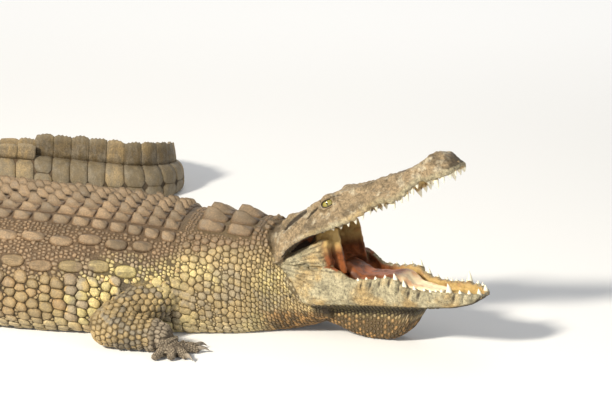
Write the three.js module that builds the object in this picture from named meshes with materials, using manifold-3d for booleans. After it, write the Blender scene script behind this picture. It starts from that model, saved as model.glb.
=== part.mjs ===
// An adult Nile crocodile, life size, lying on its belly and basking with its jaws open.
// Millimetres, +Z up, floor at Z = 0. The head points along +X, and its left side is +Y.
// The body is one form parted by thin cuts into head, lower jaw, neck, trunk, tail lengths and legs.
// Every form is worked out from the driving dimensions below by section functions and loops.
import * as THREE from 'three';
import { mergeVertices } from 'three/addons/utils/BufferGeometryUtils.js';
import Module from 'manifold-3d';

const wasm = await Module();
wasm.setup();

// ---------------------------------------------------------------- driving dimensions

const GAP = 0.3; // air left between two pieces that touch
const RAD = Math.PI / 180;

// Where the middle of the jaw joint lies, and how far each jaw is tipped from level.
const JAW_JOINT = new THREE.Vector3(582.24, -336.17, 195);
const UPPER_PITCH = 31.6 * RAD;
const LOWER_PITCH = -4 * RAD;

// The spine runs back from the jaw joint. [distance, heading in degrees]
const SPINE_HEADINGS = [
  [-200, 180], [-40, 182], [150, 196], [450, 195], [700, 187], [900, 177], [1100, 163],
  [1300, 149], [1450, 135], [1700, 121], [1930, 90], [2140, 46], [2280, 29], [2605, 27],
  [2725, 62], [2885, 120], [3100, 150], [3400, 170],
];
const SPINE_STEP = 5;

// Body sections: [distance, value]
const HALF_WIDTH = profile([
  [-130, 98], [-40, 112], [20, 128], [80, 156], [130, 178], [270, 212], [400, 246], [620, 288],
  [860, 304], [1100, 282], [1300, 222], [1430, 168], [1700, 126], [2100, 88], [2450, 60], [2800, 38],
  [3100, 21], [3330, 7],
]);
const TOP = profile([
  [-130, 205], [0, 266], [60, 278], [150, 282], [270, 288], [400, 298], [620, 308], [860, 306],
  [1100, 294], [1300, 272], [1430, 248], [1700, 214], [2100, 172], [2450, 138], [2800, 100],
  [3100, 58], [3330, 20],
]);
const WIDEST_LEVEL = profile([
  [-130, 130], [0, 124], [270, 122], [860, 116], [1430, 108], [2100, 80], [2800, 44], [3330, 9],
]);
const UNDERSIDE = profile([
  [-130, 34], [-60, 12], [0, -4], [60, -14], [160, -20], [400, -24], [1300, -24], [1500, -16],
  [2100, -10], [2800, -5], [3330, -1],
]);
const FULLNESS_TOP = 2.3; // 2 is an ellipse, more is boxier
const FULLNESS_BOTTOM = 3.3;
const FLANK_SHARE = 0.7; // place of the flank point between the armour's edge and the widest line
const BELLY_ANGLES = [0, 54].map((degrees) => degrees * RAD);

// Back armour: rows of keeled scutes across the body, columns of them along it.
// The first and the last row of a band are as long as its two pitches say.
const NUCHAL = { start: 105, pitch: [78, 78], rows: 2, column: 62, columns: 2, keel: 24 };
const DORSAL = { start: 300, pitch: [43, 65], rows: 21, column: 43, columns: 3, keel: 17 };
const KEEL_PEAK = 0.6; // share of a row's length at which its keels are highest
const KEEL_FADE = 0.18; // share of its height that a keel loses for each column outward
const TAIL_START = DORSAL.start + ((DORSAL.pitch[0] + DORSAL.pitch[1]) / 2) * DORSAL.rows;
const WHORL_PITCH_ROOT = 64; // length of one ring of tail scales at the root
const WHORL_PITCH_TIP = 44;
const TAIL_END = 3330;
const CREST_MERGES = 2405; // here the two crests of the tail meet in one
const CREST_HEIGHT = profile([
  [TAIL_START, 16], [1800, 26], [2350, 38], [2440, 68], [2700, 68], [2900, 50], [3200, 28],
  [TAIL_END, 8],
]);
const CREST_SPREAD = profile([[TAIL_START, 62], [1800, 50], [2200, 36], [CREST_MERGES, 28]]);
const CREST_FOOT = 13; // half the thickness of a crest blade where it leaves the tail
const BLADE_PEAK = 0.72; // share of a ring's length at which its blades are highest
const DOUBLE_VALLEY = 0.22; // height left between two blades, where the crests are double
const SINGLE_VALLEY = 0.62; // and where they are one
const TAIL_LENGTHS = 6;

// Head sections, measured forward from the jaw joint.
const UPPER_TIP = 549;
const LIP_HALF_WIDTH = profile([
  [-45, 104], [0, 134], [60, 138], [120, 131], [180, 115], [240, 97], [290, 86], [350, 84],
  [400, 76], [434, 58], [452, 52], [478, 58], [506, 59], [526, 50], [541, 33], [UPPER_TIP, 12],
]);
const LIP = profile([
  [-45, 8], [0, -2], [60, 18], [110, 21], [160, 14], [240, 6], [300, 11], [335, 12], [365, -2],
  [400, 2], [443, 13], [478, 3], [506, 0], [535, -4], [UPPER_TIP, -4],
]);
const CROWN = profile([
  [-45, 50], [0, 74], [33, 92], [60, 93], [100, 92], [150, 93], [190, 96], [225, 88], [260, 80],
  [325, 69], [400, 60], [442, 58], [484, 61], [518, 53], [538, 36], [UPPER_TIP, 14],
]);
const CROWN_HALF_WIDTH = profile([
  [-45, 40], [0, 56], [40, 72], [100, 72], [150, 67], [190, 62], [230, 50], [300, 42], [400, 38],
  [452, 34], [484, 34], [526, 24], [UPPER_TIP, 6],
]);
const PALATE_RISE = 14;
const LIP_RIM = 12; // height of the rounded edge of the upper lip
const CROWN_FALL = 0.08; // how far the crown's edge lies under its middle, as a share of height

const LOWER_TIP = 541;
const JAW_HALF_WIDTH = profile([
  [-60, 92], [-30, 112], [0, 124], [60, 128], [120, 121], [200, 103], [280, 86], [340, 79],
  [400, 72], [436, 68], [468, 68], [502, 57], [526, 38], [LOWER_TIP, 14],
]);
const JAW_TOP = profile([
  [-60, -16], [0, -6], [100, -6], [142, 12], [175, 0], [204, -13], [250, -8], [308, 6], [354, -13],
  [408, -12], [450, -6], [507, 0], [LOWER_TIP, -4],
]);
const JAW_BOTTOM = profile([
  [-60, -34], [-20, -52], [20, -78], [97, -101], [170, -90], [326, -69], [434, -51], [525, -26],
  [LOWER_TIP, -12],
]);
const POUCH_DROP = profile([
  [-60, 20], [60, 40], [130, 60], [190, 86], [250, 100], [300, 97], [335, 76], [358, 34], [376, 10],
  [410, 3], [LOWER_TIP, 0],
]);
const JAW_RIM = 7; // height of the rounded edge of the lower lip
const JAW_WALL = 27; // thickness of the side of the lower jaw, which grows behind WALL_GROWS
const WALL_GROWS = 150;
const TROUGH_DEPTH = 24; // depth of the mouth's floor between the sides of the lower jaw

// Teeth from the snout tip back: place along the jaw, then bare length. Radii follow the length.
const UPPER_TEETH = [
  [539, 14], [528, 15], [511, 21], [490, 30], [468, 12], [434, 15], [420, 20], [404, 22],
  [386, 18], [362, 22], [336, 14], [314, 14], [290, 15], [268, 16], [246, 15], [226, 12],
  [206, 10], [186, 7],
];
const LOWER_TEETH = [
  [532, 20], [514, 13], [494, 13], [466, 32], [446, 12], [430, 11], [415, 12], [399, 13],
  [372, 16], [344, 24], [318, 24], [290, 15], [266, 13], [242, 12], [220, 10],
];
const TOOTH_SIDES = 4;
const TOOTH_RADIUS = 2.6; // of a tooth of no length; it grows by TOOTH_STOUTNESS of the length
const TOOTH_STOUTNESS = 0.17;
const TOOTH_ROOT = 6; // how far a tooth is sunk in the gum

const EYE = { x: 185, out: 66, z: 76, radius: 17, lids: 22, opening: [15, 10.5] };

// The skin over the jaw muscle in each corner of the mouth, and the hollow between the jaws.
// [forward of the joint, half width, half height]
const CHEEK = [[-30, 20, 5], [30, 30, 15], [80, 30, 27], [120, 26, 40], [138, 14, 38]];
const CHEEK_OUT = 98; // it comes in towards the midline by CHEEK_TAPER of the way forward
const CHEEK_TAPER = 0.12;
const HOLLOW = [[62, 20, 10], [100, 62, 29], [150, 84, 46], [230, 120, 85]];

const TONGUE = { rear: 110, tip: 430, stations: 9, wide: 48, thick: 30 };

// Legs, in body coordinates: distance along the spine, distance out from it, height, radius.
// A palm and its toes point out from straight ahead by so many degrees. [degrees, length, clawed]
const FORELEG = {
  root: [322, 172, 112, 56], bend: [432, 332, 56, 54], end: [296, 338, 42, 38],
  palm: { length: 50, width: 66, height: 34, out: 22 },
  toes: [[-46, 56, 1], [-20, 48, 1], [42, 46, 1], [78, 46, 0], [114, 58, 0]],
  toeRadius: 15,
};
const HINDLEG = {
  root: [1265, 140, 130, 88], bend: [1075, 330, 104, 68], end: [1235, 392, 50, 44],
  palm: { length: 118, width: 74, height: 42, out: 36 },
  toes: [[12, 74, 1], [28, 88, 1], [44, 84, 1], [64, 66, 0]],
  toeRadius: 17,
};
const CLAW_LENGTH = 30;
const CLAW_DROP = 7; // how far a claw's tip hangs under the line of its toe
const CLAW_STEPS = [0, 0.45, 1];
const LIMB_RINGS = [-0.82, -0.1]; // rings of a limb's rounded end, as shares of its radius
const TOE_RINGS = [-0.5];

const COLOURS = {
  back: 0x9a7f5e, flank: 0xb39a4f, head: 0xa9926a, tail: 0x97804f, leg: 0x8f7c4c,
  mouth: 0xd9a878, eye: 0xb9a53a, claw: 0x5d5244,
};

// ---------------------------------------------------------------- helpers

/** A smooth curve through [place, value] points that never overshoots them. */
function profile(points) {
  const slope = points.map((p, i) => {
    if (i === 0 || i === points.length - 1) return 0;
    const before = (p[1] - points[i - 1][1]) / (p[0] - points[i - 1][0]);
    const after = (points[i + 1][1] - p[1]) / (points[i + 1][0] - p[0]);
    return before * after <= 0 ? 0 : (2 * before * after) / (before + after);
  });
  return (x) => {
    const last = points.length - 1;
    if (x <= points[0][0]) return points[0][1];
    if (x >= points[last][0]) return points[last][1];
    const i = points.findIndex((p) => p[0] > x) - 1;
    const span = points[i + 1][0] - points[i][0];
    const t = (x - points[i][0]) / span;
    const rise = points[i + 1][1] - points[i][1];
    const ease = t * t * (3 - 2 * t);
    return points[i][1] + rise * ease
      + span * t * (1 - t) * ((1 - t) * slope[i] - t * slope[i + 1]);
  };
}

/** Evenly spaced numbers from low to high, both included. */
function range(low, high, count) {
  return Array.from({ length: count }, (_, i) => low + ((high - low) * i) / (count - 1));
}

/** A closed outline moved outward by a distance, as a cutter is that leaves a gap. */
function grown(points, distance) {
  const outward = THREE.ShapeUtils.isClockWise(points) ? -1 : 1;
  const normal = (from, to) => {
    const edge = to.clone().sub(from).normalize();
    return new THREE.Vector2(edge.y, -edge.x).multiplyScalar(outward);
  };
  return points.map((point, i) => {
    const before = normal(points[(i + points.length - 1) % points.length], point);
    const after = normal(point, points[(i + 1) % points.length]);
    const middle = before.clone().add(after).normalize();
    const reach = distance / Math.max(0.4, middle.dot(after));
    return point.clone().addScaledVector(middle, reach);
  });
}

/** A closed skin over sections of equal point count. place(section, point) gives the 3D point. */
function loft(sections, place) {
  const count = sections[0].points.length;
  const positions = [];
  const faces = [];
  sections.forEach((section) => section.points.forEach((point) => {
    positions.push(...place(section.at, point).toArray());
  }));
  for (let i = 0; i + 1 < sections.length; i += 1) {
    for (let j = 0; j < count; j += 1) {
      const a = i * count + j;
      const b = i * count + ((j + 1) % count);
      faces.push(a, b, a + count, b, b + count, a + count);
    }
  }
  const capAt = (index, turned) => {
    THREE.ShapeUtils.triangulateShape(sections[index].points, []).forEach(([a, b, c]) => {
      const corners = turned ? [c, b, a] : [a, b, c];
      faces.push(...corners.map((k) => index * count + k));
    });
  };
  capAt(0, true);
  capAt(sections.length - 1, false);
  const geometry = new THREE.BufferGeometry();
  geometry.setAttribute('position', new THREE.Float32BufferAttribute(positions, 3));
  geometry.setIndex(faces);
  return geometry;
}

/** A closed geometry as a solid that can be joined and cut. */
function solidOf(geometry) {
  const bare = geometry.clone();
  bare.deleteAttribute('normal');
  bare.deleteAttribute('uv');
  const merged = mergeVertices(bare, 1e-3);
  const triangles = new Uint32Array(merged.index.array);
  const build = () => new wasm.Manifold(new wasm.Mesh({
    numProp: 3, vertProperties: merged.attributes.position.array, triVerts: triangles,
  }));
  const made = build();
  if (made.volume() >= 0) return made;
  for (let i = 0; i < triangles.length; i += 3) {
    [triangles[i], triangles[i + 1]] = [triangles[i + 1], triangles[i]];
  }
  return build();
}

/** A solid back as a geometry. */
function geometryOf(solid) {
  const mesh = solid.getMesh();
  const geometry = new THREE.BufferGeometry();
  const positions = new Float32Array(mesh.numVert * 3);
  for (let i = 0; i < mesh.numVert; i += 1) {
    positions.set(mesh.vertProperties.subarray(i * mesh.numProp, i * mesh.numProp + 3), i * 3);
  }
  geometry.setAttribute('position', new THREE.BufferAttribute(positions, 3));
  geometry.setIndex(new THREE.BufferAttribute(mesh.triVerts, 1));
  geometry.computeVertexNormals();
  return geometry;
}

/** The largest body of a solid, without the chips that a cut can leave. */
function largest(solid) {
  return solid.decompose().reduce((best, s) => (s.volume() > best.volume() ? s : best));
}

/** All that lies above the floor. */
function onFloor(solid) {
  return solid.trimByPlane([0, 0, 1], 0);
}

const animal = new THREE.Group();
animal.name = 'nile_crocodile';

/** Adds a solid to the animal as a named mesh of its own. */
function add(name, solid, colour, roughness = 0.8) {
  const material = new THREE.MeshStandardMaterial({ color: colour, roughness, metalness: 0 });
  const mesh = new THREE.Mesh(geometryOf(largest(solid)), material);
  mesh.name = name;
  animal.add(mesh);
}

// ---------------------------------------------------------------- spine and body sections

/** Points and headings of the spine, one for each step, worked out from its headings. */
function walkSpine() {
  const heading = profile(SPINE_HEADINGS);
  const first = SPINE_HEADINGS[0][0];
  const steps = [];
  let x = JAW_JOINT.x - first;
  let y = JAW_JOINT.y;
  for (let s = first; s <= TAIL_END + 60; s += SPINE_STEP) {
    const angle = heading(s) * RAD;
    steps.push({ x, y, angle });
    x += Math.cos(angle) * SPINE_STEP;
    y += Math.sin(angle) * SPINE_STEP;
  }
  return steps;
}
const SPINE = walkSpine();

/** The 3D point a distance s along the spine, `out` to its left (+) or right (-), at height z. */
function bodyPoint(s, out, z) {
  const place = (s - SPINE_HEADINGS[0][0]) / SPINE_STEP;
  const i = Math.min(SPINE.length - 2, Math.max(0, Math.floor(place)));
  const t = place - i;
  const x = SPINE[i].x + (SPINE[i + 1].x - SPINE[i].x) * t;
  const y = SPINE[i].y + (SPINE[i + 1].y - SPINE[i].y) * t;
  const angle = SPINE[i].angle + (SPINE[i + 1].angle - SPINE[i].angle) * t;
  return new THREE.Vector3(x + Math.sin(angle) * out, y - Math.cos(angle) * out, z);
}

/** Height of the back at a distance out from the midline. */
function backHeight(s, out) {
  const level = WIDEST_LEVEL(s);
  const reach = Math.min(1, Math.abs(out) / HALF_WIDTH(s));
  return level + (TOP(s) - level) * (1 - reach ** FULLNESS_TOP) ** (1 / FULLNESS_TOP);
}

/** A point of the lower half of the body; angle runs from 0 at the flank to 90 degrees below. */
function bellyPoint(s, angle, side) {
  const level = WIDEST_LEVEL(s);
  const power = 2 / FULLNESS_BOTTOM;
  const out = HALF_WIDTH(s) * Math.cos(angle) ** power;
  const z = level - (level - UNDERSIDE(s)) * Math.sin(angle) ** power;
  return new THREE.Vector2(side * out, Math.max(0, z));
}

/** Half of a body section, from the midline of the back round to the belly. */
function halfSection(s, side, topPoints) {
  const edge = Math.abs(topPoints[topPoints.length - 1][0]);
  const half = HALF_WIDTH(s);
  const points = topPoints.map(([out, lift]) => (
    new THREE.Vector2(side * out, backHeight(s, out) + lift)));
  const flank = edge + (half - edge) * FLANK_SHARE;
  points.push(new THREE.Vector2(side * flank, backHeight(s, flank)));
  BELLY_ANGLES.forEach((angle) => points.push(bellyPoint(s, angle, side)));
  return points;
}

/** A whole body section: the right half, the belly's midline, then the left half back up. */
function bodySection(s, topPoints, grow = 0) {
  const right = halfSection(s, -1, topPoints);
  const left = halfSection(s, 1, topPoints).reverse();
  const keel = new THREE.Vector2(0, Math.max(0, UNDERSIDE(s)));
  left.pop(); // both halves hold the midline point
  return { at: s, points: grown([...right, keel, ...left], grow) };
}

const placeBody = (s, point) => bodyPoint(s, point.x, point.y);

/** How far a length stays short of its end. A grown one, made for cutting, reaches past it. */
const endGap = (grow) => (grow ? -grow : GAP / 2);

/** Points across the back armour: valleys and keels by turns, out from the midline. */
function armourTop(armour, raised) {
  const points = [[0, 0]];
  for (let i = 0; i < armour.columns; i += 1) {
    const fade = 1 - KEEL_FADE * i;
    points.push([(i + 0.5) * armour.column, raised ? armour.keel * fade : 0]);
    points.push([(i + 1) * armour.column, 0]);
  }
  return points;
}

/** Sections over a band of armour: a low one and a raised one for each row of scutes. */
function armourSections(armour, grow) {
  const sections = [];
  let s = armour.start;
  range(...armour.pitch, armour.rows).forEach((pitch) => {
    sections.push(bodySection(s + endGap(grow), armourTop(armour, false), grow));
    sections.push(bodySection(s + KEEL_PEAK * pitch, armourTop(armour, true), grow));
    s += pitch;
  });
  sections.push(bodySection(s - endGap(grow), armourTop(armour, false), grow));
  return sections;
}

// ---------------------------------------------------------------- head

/** Places a point of a jaw's section; x runs forward from the joint. */
function jawPlace(pitch) {
  return (x, point) => new THREE.Vector3(x, point.x, point.y)
    .applyAxisAngle(new THREE.Vector3(0, 1, 0), -pitch)
    .add(JAW_JOINT);
}

/** Mirrors half of a section, given from its midline below to its midline above. */
function mirrored(half) {
  const other = half.slice(1, -1).reverse().map(([out, z]) => [-out, z]);
  return [...half, ...other].map(([out, z]) => new THREE.Vector2(out, z));
}

function upperSection(x, grow) {
  const lip = LIP(x);
  const wide = LIP_HALF_WIDTH(x);
  const crown = CROWN(x);
  const crownWide = Math.min(CROWN_HALF_WIDTH(x), wide * 0.85);
  const rim = Math.min(LIP_RIM, 0.25 * wide);
  const palate = lip + PALATE_RISE * Math.min(1, wide / 60);
  const shoulder = crown - CROWN_FALL * (crown - lip);
  const half = [
    [0, palate], [0.55 * wide, palate - 0.16 * rim], [wide * 0.88, lip + 0.4 * rim],
    [wide - 0.25 * rim, lip], [wide + 0.1 * rim, lip + rim],
    [crownWide + (wide - crownWide) * 0.62, lip + (shoulder - lip) * 0.6],
    [crownWide, shoulder], [0, crown],
  ];
  return { at: x, points: grown(mirrored(half), grow) };
}

function upperHead(grow = 0) {
  const places = [-45, ...range(-10, 439, 11), ...range(462, UPPER_TIP - 8, 3), UPPER_TIP];
  if (grow) {
    places[0] -= grow;
    places[places.length - 1] += grow;
  }
  return solidOf(loft(places.map((x) => upperSection(x, grow)), jawPlace(UPPER_PITCH)));
}

/** Depth of the mouth's floor under the edges of the lower jaw. */
function troughDepth(x) {
  return Math.min(TROUGH_DEPTH, 0.45 * (JAW_TOP(x) - JAW_BOTTOM(x)));
}

function lowerSection(x, grow) {
  const wide = JAW_HALF_WIDTH(x);
  const top = JAW_TOP(x);
  const bottom = JAW_BOTTOM(x);
  const rim = Math.min(JAW_RIM, 0.15 * wide);
  const thick = JAW_WALL + Math.max(0, WALL_GROWS - x) * 0.12;
  const wall = Math.max(2.2 * rim, Math.min(0.42 * wide, thick));
  const depth = troughDepth(x) * Math.min(1, wide / 50);
  const pouch = POUCH_DROP(x);
  const half = [
    [0, bottom - pouch], [0.48 * wide, bottom - pouch * 0.90], [0.62 * wide, bottom - pouch * 0.22],
    [wide * 0.94, bottom + 0.06 * (top - bottom)], [wide + 0.4 * rim, (top + bottom) / 2],
    [wide - 0.5 * rim, top], [wide - wall * 0.75, top - 1],
    [wide - wall, top - depth * 0.9], [0, top - depth],
  ];
  return { at: x, points: grown(mirrored(half), grow) };
}

function lowerJaw(grow = 0) {
  const places = [-60, -30, ...range(5, 475, 11), 504, LOWER_TIP - 14, LOWER_TIP];
  if (grow) {
    places[0] -= grow;
    places[places.length - 1] += grow;
  }
  return solidOf(loft(places.map((x) => lowerSection(x, grow)), jawPlace(LOWER_PITCH)));
}

/** One tooth: a cone, slightly bent back, whose root is sunk in the gum. */
function tooth(length, up) {
  const radius = TOOTH_RADIUS + length * TOOTH_STOUTNESS;
  const cone = new THREE.ConeGeometry(radius, length + TOOTH_ROOT, TOOTH_SIDES);
  cone.translate(0, (length + TOOTH_ROOT) / 2 - TOOTH_ROOT, 0);
  cone.rotateX(up ? Math.PI / 2 : -Math.PI / 2);
  return cone;
}

/** A jaw with its two rows of teeth joined on. */
function withTeeth(jaw, teeth, pitch, up, rowOf) {
  let made = jaw;
  const place = jawPlace(pitch);
  teeth.forEach(([x, length]) => [-1, 1].forEach((side) => {
    const [out, z] = rowOf(x);
    const centre = place(x, new THREE.Vector2(side * out, z));
    const geometry = tooth(length, up);
    geometry.applyMatrix4(new THREE.Matrix4().makeRotationY(-pitch));
    geometry.translate(centre.x, centre.y, centre.z);
    made = made.add(solidOf(geometry));
  }));
  return made;
}

const upperRow = (x) => [LIP_HALF_WIDTH(x) - Math.min(9, 0.3 * LIP_HALF_WIDTH(x)), LIP(x) + 2];
const lowerRow = (x) => [JAW_HALF_WIDTH(x) - Math.min(8, 0.3 * JAW_HALF_WIDTH(x)), JAW_TOP(x) - 1];

/** Where the middle of an eye lies. */
function eyePlace(side, outward = 0) {
  return jawPlace(UPPER_PITCH)(EYE.x, new THREE.Vector2(side * (EYE.out + outward), EYE.z));
}

/** A ball at an eye: the eyeball, its socket, or the swelling of its lids. */
function eyeball(side, radius = EYE.radius) {
  const sphere = new THREE.IcosahedronGeometry(radius, 1);
  sphere.translate(...eyePlace(side).toArray());
  return solidOf(sphere);
}

/** The almond-shaped opening between the lids of an eye. */
function lidOpening(side) {
  const [along, high] = EYE.opening;
  const almond = new THREE.SphereGeometry(1, 8, 4);
  almond.scale(along, EYE.lids, high);
  almond.applyMatrix4(new THREE.Matrix4().makeRotationY(-UPPER_PITCH));
  almond.translate(...eyePlace(side, EYE.lids).toArray());
  return solidOf(almond);
}

function tongueSection(x, grow) {
  const floor = JAW_TOP(x) - troughDepth(x);
  const t = (x - TONGUE.rear) / (TONGUE.tip - TONGUE.rear);
  const wide = TONGUE.wide * Math.sin(Math.PI * (0.24 + 0.66 * t)) ** 0.6;
  const thick = TONGUE.thick * (0.3 + 0.7 * Math.sin(Math.PI * (0.15 + 0.72 * t)));
  const half = [
    [0, floor + GAP], [wide * 0.8, floor + GAP], [wide, floor + thick * 0.45],
    [wide * 0.72, floor + thick * 0.9], [0, floor + thick * 0.82],
  ];
  return { at: x, points: grown(mirrored(half), grow) };
}

function tongue(grow = 0) {
  const places = range(TONGUE.rear - grow, TONGUE.tip + grow, TONGUE.stations);
  return solidOf(loft(places.map((x) => tongueSection(x, grow)), jawPlace(LOWER_PITCH)));
}

/** A loft of ellipses between the jaws. Each is [forward of the joint, half width, half height]. */
function gapeLoft(ellipses, out = () => 0) {
  const sections = ellipses.map(([x, wide, high]) => ({
    at: x,
    points: range(0, 2 * Math.PI, 9).slice(0, 8).map((a) => (
      new THREE.Vector2(out(x) + wide * Math.cos(a), high * Math.sin(a)))),
  }));
  return solidOf(loft(sections, jawPlace((UPPER_PITCH + LOWER_PITCH) / 2)));
}

const mouthHollow = () => gapeLoft(HOLLOW);
const cheek = (side) => gapeLoft(CHEEK, (x) => side * (CHEEK_OUT - CHEEK_TAPER * x));

function buildHead() {
  let upper = withTeeth(upperHead(), UPPER_TEETH, UPPER_PITCH, false, upperRow);
  [-1, 1].forEach((side) => {
    upper = upper.add(eyeball(side, EYE.lids)).subtract(lidOpening(side))
      .subtract(eyeball(side, EYE.radius + GAP));
    add(side < 0 ? 'eye_right' : 'eye_left', eyeball(side), COLOURS.eye, 0.15);
  });
  const jawCut = lowerJaw().subtract(upperHead(GAP));
  const lower = withTeeth(onFloor(largest(jawCut)), LOWER_TEETH, LOWER_PITCH, true, lowerRow);
  add('head', upper, COLOURS.head);
  add('lower_jaw', lower, COLOURS.head);
  add('tongue', tongue().subtract(lowerJaw(GAP)), COLOURS.mouth, 0.5);
}

// ---------------------------------------------------------------- neck, trunk and tail

function neck(grow = 0) {
  const front = [-130, -70, -10, 45].map((s) => (
    bodySection(s, armourTop(NUCHAL, false), grow)));
  const armoured = armourSections(NUCHAL, grow);
  const back = [bodySection(DORSAL.start - endGap(grow), armourTop(NUCHAL, false), grow)];
  return solidOf(loft([...front, ...armoured, ...back], placeBody));
}

function trunk(grow = 0) {
  return solidOf(loft(armourSections(DORSAL, grow), placeBody));
}

/** Where each ring of tail scales starts, from the root to the tip. */
function whorls() {
  const starts = [TAIL_START];
  while (starts[starts.length - 1] < TAIL_END - WHORL_PITCH_TIP) {
    const s = starts[starts.length - 1];
    const t = (s - TAIL_START) / (TAIL_END - TAIL_START);
    starts.push(s + WHORL_PITCH_ROOT + (WHORL_PITCH_TIP - WHORL_PITCH_ROOT) * t);
  }
  return starts;
}

/** Points across the top of the tail: two crests, or one where they have met. */
function crestTop(s, raised, double) {
  const valley = double ? DOUBLE_VALLEY : SINGLE_VALLEY;
  const height = CREST_HEIGHT(s) * (raised ? 1 : valley);
  const foot = Math.min(CREST_FOOT, 0.3 * HALF_WIDTH(s)) + 2;
  if (!double) return [[0, height], [foot, 0]];
  const spread = CREST_SPREAD(s);
  return [[0, 0], [spread - foot * 0.4, 0], [spread + 3, height], [spread + foot, 0]];
}

function tailLength(starts, first, last, grow = 0) {
  const double = starts[first] < CREST_MERGES;
  const sections = [];
  for (let i = first; i < last; i += 1) {
    const s = starts[i];
    const length = starts[i + 1] - s;
    const inset = i === first ? endGap(grow) : 0;
    sections.push(bodySection(s + inset, crestTop(s, false, double), grow));
    sections.push(bodySection(s + BLADE_PEAK * length, crestTop(s, true, double), grow));
  }
  const end = starts[last];
  sections.push(bodySection(end - endGap(grow), crestTop(end, false, double), grow));
  return solidOf(loft(sections, placeBody));
}

function buildBody() {
  const inMouth = upperHead(GAP).add(lowerJaw(GAP)).add(mouthHollow()).add(tongue(GAP));
  const neckFlesh = neck().add(cheek(-1)).add(cheek(1)).subtract(inMouth);
  add('neck', onFloor(neckFlesh), COLOURS.flank);
  add('trunk', trunk(), COLOURS.back);
  const starts = whorls();
  const merge = starts.findIndex((s) => s >= CREST_MERGES);
  const half = TAIL_LENGTHS / 2;
  const cuts = [...range(0, merge, half + 1), ...range(merge, starts.length - 1, half + 1).slice(1)]
    .map(Math.round);
  for (let i = 0; i < TAIL_LENGTHS; i += 1) {
    add(`tail_${i + 1}`, tailLength(starts, cuts[i], cuts[i + 1]), COLOURS.tail);
  }
}

// ---------------------------------------------------------------- legs

/** A round-ended tapering limb between two points. */
function limb(from, to, radiusFrom, radiusTo, sides = 8, flat = 1, ends = LIMB_RINGS) {
  const axis = new THREE.Vector3().subVectors(to, from);
  const length = axis.length();
  axis.normalize();
  const across = new THREE.Vector3().crossVectors(new THREE.Vector3(0, 0, 1), axis).normalize();
  const up = new THREE.Vector3().crossVectors(axis, across);
  const round = (t) => Math.sqrt(1 - t * t);
  const rings = [
    ...ends.map((t) => [t * radiusFrom, radiusFrom * round(t)]),
    ...ends.map((t) => [length - t * radiusTo, radiusTo * round(t)]).reverse(),
  ];
  const sections = rings.map(([at, radius]) => ({
    at,
    points: range(0, 2 * Math.PI, sides + 1).slice(0, sides).map((a) => (
      new THREE.Vector2(radius * Math.cos(a), radius * flat * Math.sin(a)))),
  }));
  return solidOf(loft(sections, (at, point) => from.clone()
    .addScaledVector(axis, at)
    .addScaledVector(across, point.x)
    .addScaledVector(up, point.y)));
}

/** Cuts two limb segments apart along the plane that halves the angle between them. */
function partAt(joint, before, after, first, second) {
  const normal = new THREE.Vector3().subVectors(after, joint).normalize()
    .sub(new THREE.Vector3().subVectors(before, joint).normalize()).normalize();
  const offset = normal.dot(joint);
  return [
    first.trimByPlane(normal.clone().negate().toArray(), -offset + GAP / 2),
    second.trimByPlane(normal.toArray(), offset + GAP / 2),
  ];
}

/** One claw: a hooked cone that comes out of the end of a toe. */
function claw(tip, direction, radius) {
  const sections = CLAW_STEPS.map((t) => ({
    at: t,
    points: range(0, 2 * Math.PI, 5).slice(0, 4).map((a) => {
      const r = radius * (1 - 0.86 * t) + 0.4;
      return new THREE.Vector2(r * 0.75 * Math.cos(a), r * Math.sin(a));
    }),
  }));
  const side = new THREE.Vector3(-direction.y, direction.x, 0);
  return solidOf(loft(sections, (t, point) => tip.clone()
    .addScaledVector(direction, CLAW_LENGTH * t)
    .addScaledVector(side, point.x)
    .add(new THREE.Vector3(0, 0, point.y - CLAW_DROP * t * t))));
}

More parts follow.
